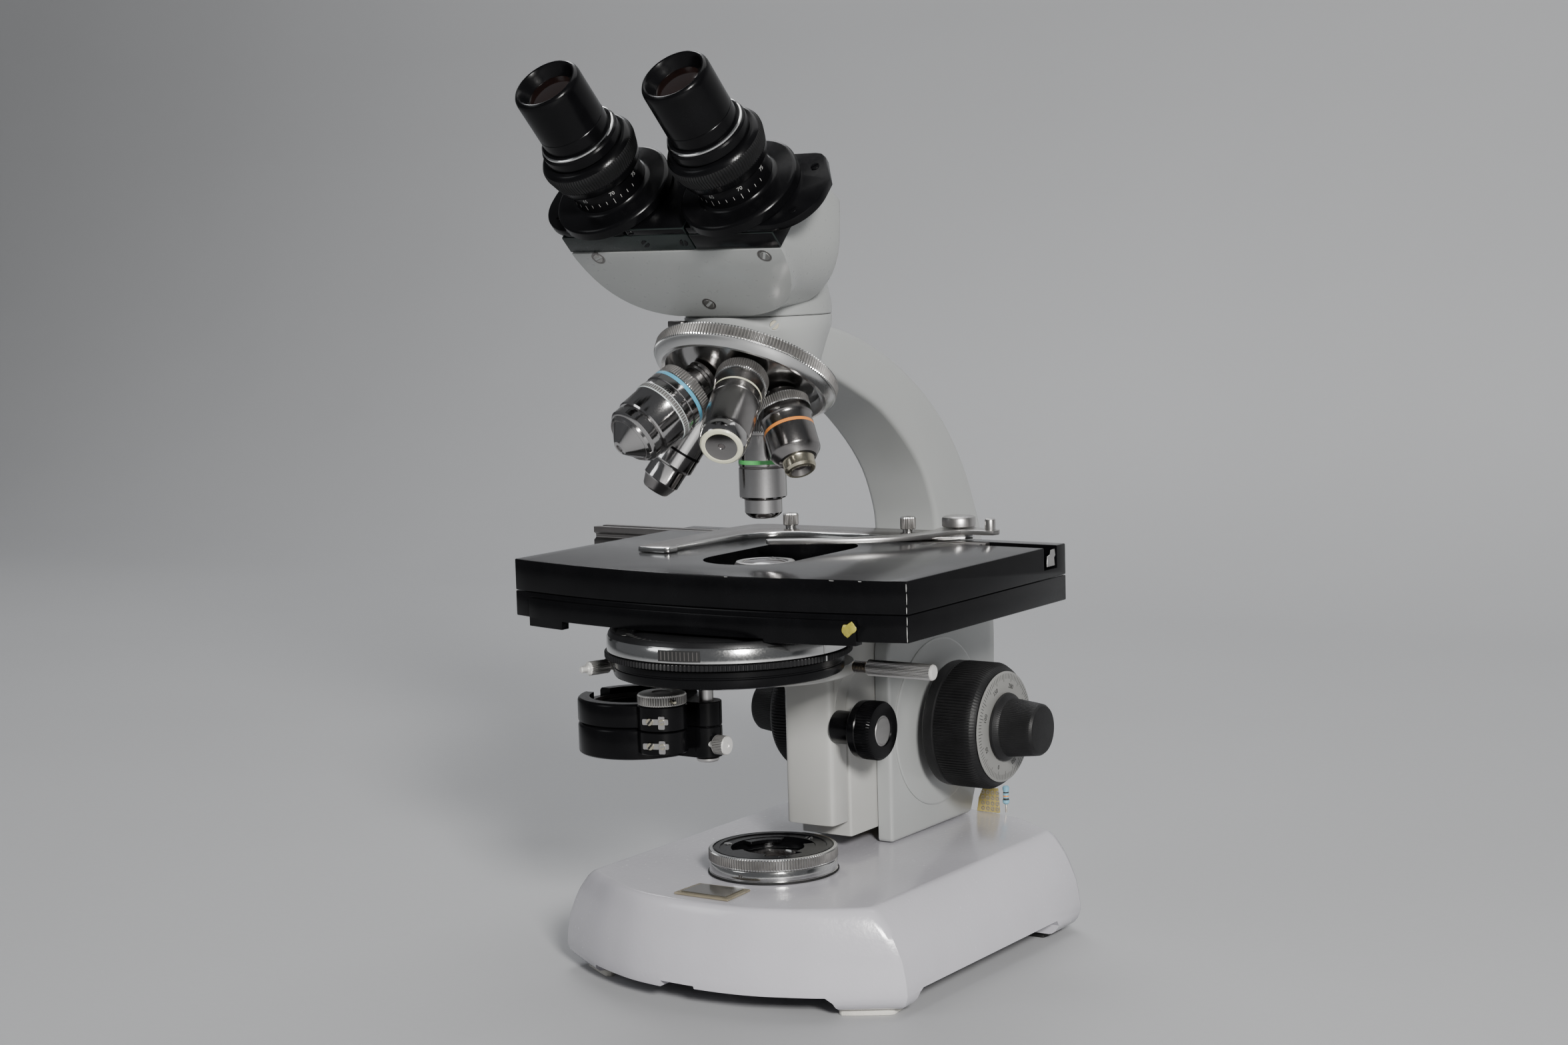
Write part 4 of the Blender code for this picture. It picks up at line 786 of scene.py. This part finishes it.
def strip(name, x0, x1, low, high, out):
    """A strip that follows the front edge under the stage."""
    xs = [x0 + (x1 - x0) * k / 20 for k in range(21)]
    line = [(x, edge_y(x) - out) for x in xs] + [(x, edge_y(x) + 3) for x in reversed(xs)]
    return plate(name, line, low, high, "stage_carrier", [BLACK], edge=0.25, sharp=40, keep=True)


combine(low_plate, strip("strip", -82, 73, 145.55, 153.6, 1.5), "UNION")
combine(low_plate, strip("tab", -82, -62, 142.3, 150.0, 1.45), "UNION")
combine(low_plate, strip("tab2", 36, 73, 144.2, 150.0, 1.45), "UNION")
settle(low_plate, "stage_carrier", ["stage_lower_plate"])
turn("drive_y", [(2.6, 128.6), (11.4, 128.6), (12.4, 129.4), (12.5, 130, 0, 0.5), (12.5, 140.6, 0, 0.5), (11.6, 142.2),
    (10.6, 142.6), (2.6, 142.6)], DRIVE, Z, "y_knob", [MATT], ["stage_y_knob"], steps=224, angle=28)
turn("drive_x", [(0, 112), (8.2, 112), (9.3, 112.8), (9.6, 113.6, 0, 0.45), (9.6, 126.6, 0, 0.45), (8.8, 128),
    (2.2, 128.1), (2.2, 157), (0, 157)], DRIVE, Z, "x_knob", [MATT], ["stage_x_knob"], steps=192,
    angle=28)


def chips(name, spots, body):
    """Bare metal where the lacquer of an edge has chipped: each is x, y, z and half sizes."""
    b = bmesh.new()
    for x, y, z, dx, dz in spots:
        revolve(b, [(0, -0.04), (1, 0), (0, 0.05)], (0, 0, 0), -Y, 7)
        new = list(b.verts)[-9:]
        for v in new:
            v.co = Vector((x + v.co.x * dx, y + v.co.y, z + v.co.z * dz))
    return finish_mesh(name, b, DIM, body)


chips("table_chips", [(x, edge_y(x) - 0.02, z, dx, dz) for x, z, dx, dz in ((91.3, 165.9, 0.28, 1.6),
    (91.4, 161.8, 0.2, 2.2), (91.3, 157.6, 0.25, 1.3), (74, 168, 1.1, 0.16), (63, 168.05, 1.6, 0.14),
    (20, 168.05, 0.9, 0.12))], "y_plate")
chips("bed_chips", [(x, edge_y(x) - 0.02, z, dx, dz) for x, z, dx, dz in ((91.4, 153.6, 0.22, 1.7),
    (91.3, 149.4, 0.24, 2.4), (91.4, 146.6, 0.2, 0.8))], "stage_carrier")
bm = bmesh.new()                                           # hardened grease at the right end of the strip
revolve(bm, [(0, -1), (1.6, -0.9), (2.6, -0.2), (2.3, 0.5), (1.2, 0.9), (0, 1)], (0, 0, 0), -Y, 24)
for v in bm.verts:
    v.co = Vector((69.8 + v.co.x * 1.5 + 0.4 * v.co.z, edge_y(69.8) - 1.5 + v.co.y * 0.5,
        150.3 + v.co.z * (1 + 0.25 * math.sin(2.3 * v.co.x))))
finish_mesh("strip_grease", bm, GREASE, "stage_carrier")
plate("channel_bracket", [(64, 160.6), (70.6, 160.6), (70.2, 163.8), (71.2, 164.6), (70.6, 167.2), (67.4, 167),
    (66.8, 165.2), (64.4, 164.8)], 91.53, 91.78, "y_plate", SATIN, u=Y, v=Z, edge=0.05, segments=1)

# rail, slide holder and finger
rail_line = [(62, 160.4), (62, 162.6), (63.5, 163.6), (63.5, 165), (62, 166), (62, 168.4), (65.6, 168.4),
    (66.2, 167.6), (68.2, 167.6), (68.8, 168.4), (72, 168.4), (72, 166), (70.8, 165.2), (70.8, 163.4), (72, 162.6),
    (72, 160.4)]
plate("cross_rail", rail_line, -133.5, 61.5, "x_rail", [DARKSTEEL], ["x_rail"], u=Y, v=Z, edge=0.15,
    segments=1)
HOLD = STAGE_TOP + 0.3
holder_line = [(-60, 60), (-57.4, -5.6), (-56.4, -8.2), (-54.5, -9), (-43, -8.6), (-41.4, -7.4), (-41, -2.4),
    (-43.4, 0.4), (-43, 14), (-42, 30), (-40.2, 40), (-36.4, 48.6), (-30.4, 55), (-22, 58.6), (-8, 59.4), (26, 60),
    (32, 62.4), (37, 67.2), (44, 71), (49, 74.4), (50.5, 78), (48.8, 82.2), (44, 84), (20, 82.6), (-50, 80),
    (-56.4, 78), (-58.4, 73)]
plate("slide_holder", holder_line, HOLD, HOLD + 2.2, "x_rail", [CHROME, HOLDFACE], ["specimen_holder"],
    edge=0.35, top=1)
for tag, x, y in (("l", -33.7, 70.0), ("r", 21.9, 74.0)):
    turn("holder_screw_" + tag, [(0, HOLD + 2.1), (2.3, HOLD + 2.1), (2.3, HOLD + 3.2), (3, HOLD + 3.4),
        (3.3, HOLD + 3.7, 0, 0.25), (3.3, HOLD + 7.9, 0, 0.25), (2.9, HOLD + 8.5), (1, HOLD + 8.6), (0.8, HOLD + 8.3),
        (0, HOLD + 8.3)], (x, y, 0), Z, "x_rail", [KNURL], steps=112, angle=28, groove=GROOVE_PAINTED_SHADE)
FP = Vector((43.8, 78.0, 0))
turn("finger_button", [(0, HOLD + 2.1), (2.2, HOLD + 2.1), (2.2, HOLD + 4.8), (6.6, HOLD + 4.9), (7, HOLD + 5.3),
    (7, HOLD + 8.2), (6.6, HOLD + 8.9), (5.6, HOLD + 9.3), (3, HOLD + 9.45), (0, HOLD + 9.5)], FP, Z, "x_rail",
    [SATIN], steps=72)
finger_line = [(-9, 16.6), (-9.4, 14.6), (-7.4, 13), (-5.6, 13), (14, 21.8), (26, 28.6), (35, 36.6), (41.6, 46),
    (44.8, 55), (46.6, 63), (49.6, 69.4), (54, 71), (60, 71), (63.2, 72.2), (64.2, 75), (63, 78), (60, 79.2),
    (54, 79.6), (50.4, 82.4), (45, 85), (40, 84), (36.6, 79.6), (36.6, 74), (38, 66), (37, 57), (33.6, 48.6),
    (28, 41.6), (20, 34.8), (8, 26.8), (-3, 20)]
finger = plate("slide_finger", finger_line, HOLD + 2.5, HOLD + 4.4, "finger", [SATIN], edge=0.3, sharp=50, keep=True)
cut(finger, arc(FP.x, FP.y, 2.5, 0, 350, 30), 165, 182)
settle(finger, "finger", ["spring_finger"])
turn("finger_pin", [(0, HOLD + 4.3), (2.2, HOLD + 4.3), (2.2, HOLD + 8.6), (1.8, HOLD + 9), (0, HOLD + 9.1)],
    (60.2, 75, 0), Z, "finger", [SATIN], steps=32, ease=EASE)

# =============================================================== nosepiece and objectives
# The cone (material 2) is chrome darkened as painted shade.
turn("nose_turret", [(0, 14.7, 1), (29.4, 14.7, 1), (30, 15.6, 1), (30.4, 16.4), (35.8, 16.5), (36.6, 16.9),
    (36.8, 17.4, 0, 0.55), (36.8, 21.2, 0, 0.55), (36.3, 21.8), (35.9, 22.2), (35.6, 23), (33.6, 25), (32.6, 25.2),
    (31.2, 24.6), (30.4, 20.2, 2), (27.4, 20, 2), (24, 22, 2), (3.5, 33.8, 2), (0, 34.4, 2)], APEX, NOSE, "nosepiece",
    [KNURL, DARKSTEEL, CHROME_SHADED_NOSE], ["nosepiece_ring"], steps=720, angle=30, groove=GROOVE_PAINTED_SHADE)


def objective_axis(index):
    return Matrix.Rotation(math.radians(72.0 * index), 3, NOSE) @ Vector((0, 0, -1))


# rows are radius, distance from the apex, material, tooth depth
C, S, D_, R_, KN, G_ = 0, 1, 2, 3, 4, 6
# Materials 0 and 1 are chrome and steel darkened as painted shade.
OBJ_MATS = lambda ring, tip: [CHROME_SHADED_LENS, STEEL_SHADED_LENS, DARKSTEEL, ring, KNURL, BLACK, GLASS, tip]
KD = 0.30
OBJECTIVES = {"objective_d": (0, GREEN, IVORY, [(0, 31.8, S), (7.5, 31.8, S), (7.5, 35, S), (10, 35.2, KN),
    (10.5, 35.6, KN, KD), (10.5, 40.4, KN, KD), (10, 40.9, S), (9.8, 42, S), (9.5, 42.2, C), (9.5, 52, R_),
    (9.5, 53.6, C), (9.5, 54.4, D_), (9.1, 54.6, D_), (9.1, 55.2, D_), (9.5, 55.4, C), (9.5, 66.6, C), (9, 67.2, C),
    (7.8, 67.5, D_), (7.5, 67.9, C), (7.5, 73, C), (6.9, 73.8, S), (5.6, 74.8, S), (4.6, 75.3, S), (3.2, 75.4, D_),
    (2.4, 74.8, G_), (0, 74.6, G_)]), "objective_e": (1, ORANGE, BRASSY, [(0, 31.8, S), (7.2, 31.8, S), (7.2, 35, S),
    (10.2, 35.2, KN), (10.7, 35.7, KN, KD), (10.7, 39, KN, KD), (10.3, 39.4, S), (10.5, 39.8, S), (10.5, 42.8, S),
    (10.1, 43.4, S), (9.9, 44, S), (9.9, 47, R_), (9.9, 48.3, S), (9.9, 57, S), (9.6, 57.8, S), (7.4, 60.6, S),
    (6.4, 61, 7), (6.2, 61.6, 7), (6.2, 64.4, 7), (5.6, 65.4, 7), (4.9, 65.8, 7), (4, 65.6, D_), (2.6, 63.6, G_),
    (0, 63.4, G_)]), "objective_c": (2, IVORY, IVORY, [(0, 31.8, S), (8, 31.8, S), (8, 33.6, S), (10, 33.8, KN),
    (10.4, 34.2, KN, KD), (10.4, 39.2, KN, KD), (9.9, 39.8, S), (9.6, 40.4, S), (9.6, 45.4, R_), (9.6, 46.4, S),
    (9.6, 50.6, S), (9.45, 50.8, S), (9.6, 51, S), (9.6, 69.4, S), (9.2, 71, S), (9.3, 71.4, C), (8.9, 74.6, C),
    (8.2, 76.2, 7), (7.6, 76.8, 7), (6.5, 76.9, 7), (6.1, 76.7, S), (1.4, 76.3, S), (1.1, 76, G_), (0, 76, G_)]),
    "objective_a": (3, BLUE, PALEBLUE, [(0, 31.8, D_), (6.4, 31.8, D_), (6.7, 32.6, S), (6.3, 33.4, S), (6.7, 34.2, S),
    (6.3, 35, S), (6.7, 35.8, S), (6.4, 38, C), (7.2, 39.6, C), (11.4, 41.2, KN), (12.4, 41.8, KN, KD),
    (12.6, 45.4, KN, KD), (12.4, 46, C), (12.7, 46.4, R_), (12.8, 48, C), (12.8, 50.6, C), (12.2, 51, C),
    (12.2, 52.4, C), (12.7, 52.8, C), (12.7, 54, 7), (13, 54.4, 7, 0.2), (13, 56.4, 7, 0.2), (12.7, 56.8, C),
    (12.5, 57.2, C), (12.5, 66.2, C), (12, 66.8, C), (11.2, 67, C), (11.2, 68, C), (11.8, 68.4, C), (11.8, 71.2, C),
    (11, 72, C), (10.4, 72.2, C), (10.2, 73.2, C), (9.4, 74, D_), (8.8, 73.8, C), (4, 78.2, C), (3, 79, C),
    (1.6, 79.2, D_), (0.9, 78.8, G_), (0, 78.8, G_)]), "objective_b": (4, BLACK, SATIN, [(0, 31.8, S), (7.5, 31.8, S),
    (7.5, 35, S), (10, 35.2, KN), (10.4, 35.7, KN, KD), (10.4, 40.4, KN, KD), (9.8, 41, C), (9, 42, C), (9, 57, R_),
    (9, 58, C), (9, 63.6, C), (8.6, 64.2, D_), (7.8, 64.6, C), (7.6, 65.2, C), (7.6, 71.6, C), (7, 72.2, S),
    (5.6, 75.8, S), (4.8, 76.6, S), (3, 76.9, D_), (2, 76.4, G_), (0, 76.4, G_)]),}
for name, (index, ring, tip, rows_) in OBJECTIVES.items():
    turn("lens_" + name[-1], rows_, APEX, objective_axis(index), "nosepiece", OBJ_MATS(ring, tip),
        [name], steps=288, angle=28, groove=GROOVE_PAINTED_SHADE)

# =============================================================== head
TOPP = FACE + TUBE * -14.6


def housing_ring(z):
    """Level section of the housing, run out forwards past its sloped face."""
    drop = min(1.0, max(0.0, (FACE.z - z) / 35.8))
    face = HEAD_HALF * (1.0 - drop ** 3) ** 0.333
    rear = 0.955 * (face / HEAD_HALF) ** 1.5
    front = FACE.y + FACE.z - z + 1.2
    wide = HEAD_HALF * rear
    half = [(face, front), (face + 0.75 * (wide - face), front + 0.35 * (-16 * rear - front)), (wide, -16 * rear),
        (46.2 * rear, -9 * rear), (38.5 * rear, 0.8 * rear), (25 * rear, 12.5 * rear), (10 * rear, 18.2 * rear)]
    curve = smooth_line(half + [(-x, y) for x, y in reversed(half)], 5)
    return [Vector((face, -120, z))] + [Vector((x, y, z)) for x, y in curve] + [Vector((-face, -120, z))]


bm = bmesh.new()
levels = [264.6, 264.9, 265.4, 266.2, 267.3, 268.5, 270, 271.8, 274, 276.5, 279.5, 283, 287, 291, 295, 299.9, 308, 325]
loft(bm, [housing_ring(z) for z in levels])
slice_off(bm, FACE, -BACK)
slice_off(bm, TOPP, TUBE)
slice_off(bm, TOPP + BACK * 38.0, (0, 0.55, 1.0))
bevel(bm, 1.3, 3, 24)
head = finish_mesh("head_casting", bm, [GREY_SHADED_HEAD], "head", keep=True, angle=34)
join(head, "neck", [(0, 263.95), (28.7, 263.95), (29, 264.3), (29, 266), (28.6, 270), (27.4, 275), (25.6, 280),
    (22, 288), (0, 288)], (0, 0, 0), 96, [GREY_SHADED_HEAD], angle=34)
settle(head, "head", ["prism_housing"])


def on_face(x, t, d=0.0):
    return FACE + X * x + TUBE * t + BACK * d


screws("face_screws", [(on_face(-37, -17.2), -BACK, 2.1, 0.25, 20), (on_face(39.3, -17.8), -BACK, 2.1, 0.25, 60),
    (on_face(1.2, -43.2), -BACK, 2.1, 0.25, 35)], "head", [NICKEL, INK_AND_RECESS_SHADE])
# Dark rings round the face screws: painted shadow of their recesses.
bm = bmesh.new()
for x, t in ((-37, -17.2), (39.3, -17.8), (1.2, -43.2)):
    revolve(bm, [(2.15, -0.3), (2.9, -0.3), (2.9, 0.10), (2.15, 0.05)], on_face(x, t), -BACK, 36)
finish_mesh("face_screw_shadow_rings", bm, [DARKSTEEL], "head")


def head_prism(bm, outline, low, high, mat=0):
    prism(bm, outline, low, high, u=X, v=BACK, at=FACE, mat=mat)


bm = bmesh.new()
head_prism(bm, [(-48.8, 0.4), (10.2, 0.4), (10.2, 37.5), (-36, 37.5), (-44, 34), (-48.8, 24)], -14.2, -6.3, 0)
head_prism(bm, [(10.7, 0.4), (48.2, 0.4), (48.2, 24), (44, 34), (36, 37.5), (10.7, 37.5)], -14.2, -6.3, 1)
head_prism(bm, [(-17.2, 0.6), (10, 0.6), (10, 37), (-17.2, 37)], -6.4, -3.1, 1)
bevel(bm, 0.4, 2, 40)
finish_mesh("bridge", bm, [PLATE, BLACK], "head", ["bridge_plate"])
screws("bridge_screws", [(on_face(-11, -10.4, 0.35), -BACK, 1.7, 0.25, 30), (on_face(6.7, -10.4, 0.35), -BACK, 1.7,
    0.25, 75), (on_face(-15.2, -4.8, 0.5), -BACK, 1.3, 0.2, 10)], "head", [BLACK, INK_AND_RECESS_SHADE])

for tag, side, tip, inner_x in (("l", -1, 60.0, 18.4), ("r", 1, 64.5, 11.2)):
    eye = FACE + X * (side * TUBE_X) + BACK * TUBE_SET
    front_end = [(side * (tip - 17 + x), 17.4 + y) for x, y in arc(0, 0, 17, -90, 0, 20)]
    rear_end = ([(side * tip, 23.5), (side * (tip - 6.6), 35), (side * (tip - 9.2), 37), (side * (tip - 12),
        37.6)] if side > 0 else [(side * (tip - 18 + x), 19.6 + y) for x, y in arc(0, 0, 18, 0, 90, 20)])
    outline = front_end + rear_end + [(side * inner_x, 37.6), (side * inner_x, 0.4)]
    bm = bmesh.new()
    head_prism(bm, outline, -6.0, -2.75)
    bevel(bm, 0.35, 2, 40)
    carrier = finish_mesh("tube_base_" + tag, bm, [BLACK], "tube_" + tag, keep=True)
    cut(carrier, arc(0, 0, 11.8, 0, 352, 44), -12, 20, u=X, v=BACK, at=eye)
    settle(carrier, "tube_" + tag, ["tube_plate_" + tag])
    turn("tube_flange_" + tag, [(11.8, -2.7), (23, -2.7), (23.4, -2.3), (23.4, 0.9), (22.9, 1.6), (22, 2), (16.2, 2),
        (15.2, 2.4), (14.6, 3.2), (14.6, 11.4), (14.2, 11.8), (11.8, 11.8)], eye, TUBE, "tube_" + tag, [BLACK],
        steps=128)
    turn("tube_knurl_" + tag, [(11.8, 12.1), (16.2, 12.1), (16.8, 12.5), (17.1, 13.4), (17.6, 15.6, 0, 0),
        (17.8, 16, 1, 0.42), (18.9, 20.4, 1, 0.42), (18.9, 22, 1, 0.42), (18.4, 23), (17.4, 24.4), (16.6, 24.8),
        (11.8, 24.8)], eye, TUBE, "ring_" + tag, [BLACK, MATT], ["tube_ring_" + tag], steps=416,
        angle=30)
    turn("ocular_" + tag, [(0, 0), (11.2, 0), (11.2, 25.1), (15.2, 25.1), (15.6, 25.5), (15.6, 28.8), (15.2, 29.4),
        (14.7, 29.6, 1), (14.9, 29.9, 1), (14.9, 30.5, 1), (14.4, 30.8), (13.3, 30.9), (13.3, 36), (13.15, 36.2),
        (13.3, 36.4), (13.3, 53.4), (13.1, 54.6), (12.5, 55.6), (11.8, 56), (11.2, 55.8), (10.4, 54.6), (9.6, 52.6),
        (8.8, 51.6), (8.7, 51.3, 2), (6, 51.9, 2), (3, 52.2, 2), (0, 52.3, 2)], eye, TUBE, "ocular_" + tag, [BLACK,
        CHROME, AMBER], ["eyepiece_" + tag], steps=144, angle=30)
    marks("tube_ticks_" + tag, barrel_ticks(eye, TUBE, 14.66, [214 + 12 * i for i in range(12)],
        lambda i: (5.8 if i % 4 else 4.9, 7.2), 0.2), "tube_" + tag, DIM)
    sv, uv = sides(TUBE)[1:]
    for i, num in enumerate((60, 65, 70, 75)):
        out = round_about(sv, uv, 222 + 45 * i)[0]
        numeral("tube_num_%s_%d" % (tag, num), str(num), 2.2, eye + TUBE * 9.4 + out * 14.68, TUBE.cross(out), TUBE,
            "tube_" + tag, DIM)
    spots = [(side * (tip - 9), 8), (side * (tip - 9), 30), (side * (inner_x + 4), 33.6)]
    screws("tube_screws_" + tag, [(FACE + X * x + BACK * b_ + TUBE * -2.75, TUBE, 1.7, 0.35, 40) for x, b_ in spots],
        "tube_" + tag, [BLACK, INK_AND_RECESS_SHADE])

# =============================================================== floor, light, camera
bm = bmesh.new()
side_line = [(-14000, -0.05), (900, -0.05)] + [(900 + 500 * math.sin(math.radians(a)),
    500 - 500 * math.cos(math.radians(a)) - 0.05) for a in range(10, 91, 10)] + [(1400, 3200)]
rows = [[bm.verts.new((x, y, z)) for y, z in side_line] for x in (-14000, 14000)]
for k in range(len(side_line) - 1):
    bm.faces.new((rows[0][k], rows[0][k + 1], rows[1][k + 1], rows[1][k]))
floor = finish_mesh("floor", bm, [FLOOR], None, keep=True, angle=60)


def area(name, at, to, size, power, colour=(1, 1, 1)):
    data = bpy.data.lights.new(name, "AREA")
    data.shape, data.size, data.size_y = "RECTANGLE", size[0], size[1]
    data.energy, data.color = power, colour
    lamp = bpy.data.objects.new(name, data)
    bpy.context.scene.collection.objects.link(lamp)
    lamp.location = at
    lamp.rotation_mode = "QUATERNION"
    lamp.rotation_quaternion = (Vector(to) - Vector(at)).to_track_quat("-Z", "Y")
    return lamp


area("key", (1.62, -1.52, 1.03), (0, 0, 0.16), (0.36, 0.36), 74, (1.0, 0.985, 0.96))
area("fill", (-1.3, -1.9, 1.2), (0, 0, 0.15), (0.9, 0.9), 7, (0.96, 0.98, 1.0))
area("top", (0.1, 0.5, 2.0), (0, 0, 0), (1.4, 1.4), 13)
area("back", (-1.0, 1.15, 1.5), (0, 0, 0.15), (0.9, 0.6), 10, (0.97, 0.98, 1.0))
world = bpy.data.worlds.new("studio")
bpy.context.scene.world = world
world.use_nodes = True
world.node_tree.nodes["Background"].inputs["Color"].default_value = (0.80, 0.82, 0.86, 1)
world.node_tree.nodes["Background"].inputs["Strength"].default_value = 0.13

cam_data = bpy.data.cameras.new("camera")
cam = bpy.data.objects.new("camera", cam_data)
bpy.context.scene.collection.objects.link(cam)
cam_data.sensor_width, cam_data.lens = 36.0, 60.40
cam_data.clip_start, cam_data.clip_end = 0.01, 50.0
az, pitch, roll = math.radians(33.71), math.radians(6.246), math.radians(-1.573)
look = Vector((-math.sin(az) * math.cos(pitch), math.cos(az) * math.cos(pitch), -math.sin(pitch)))
right = Vector((math.cos(az), math.sin(az), 0))
upward = right.cross(look)
r2 = right * math.cos(roll) + upward * math.sin(roll)
u2 = upward * math.cos(roll) - right * math.sin(roll)
turned_to = Matrix((r2, u2, -look)).transposed().to_4x4()
turned_to.translation = W((580.74, -856.25, 294.82))
cam.matrix_world = turned_to
bpy.context.scene.camera = cam
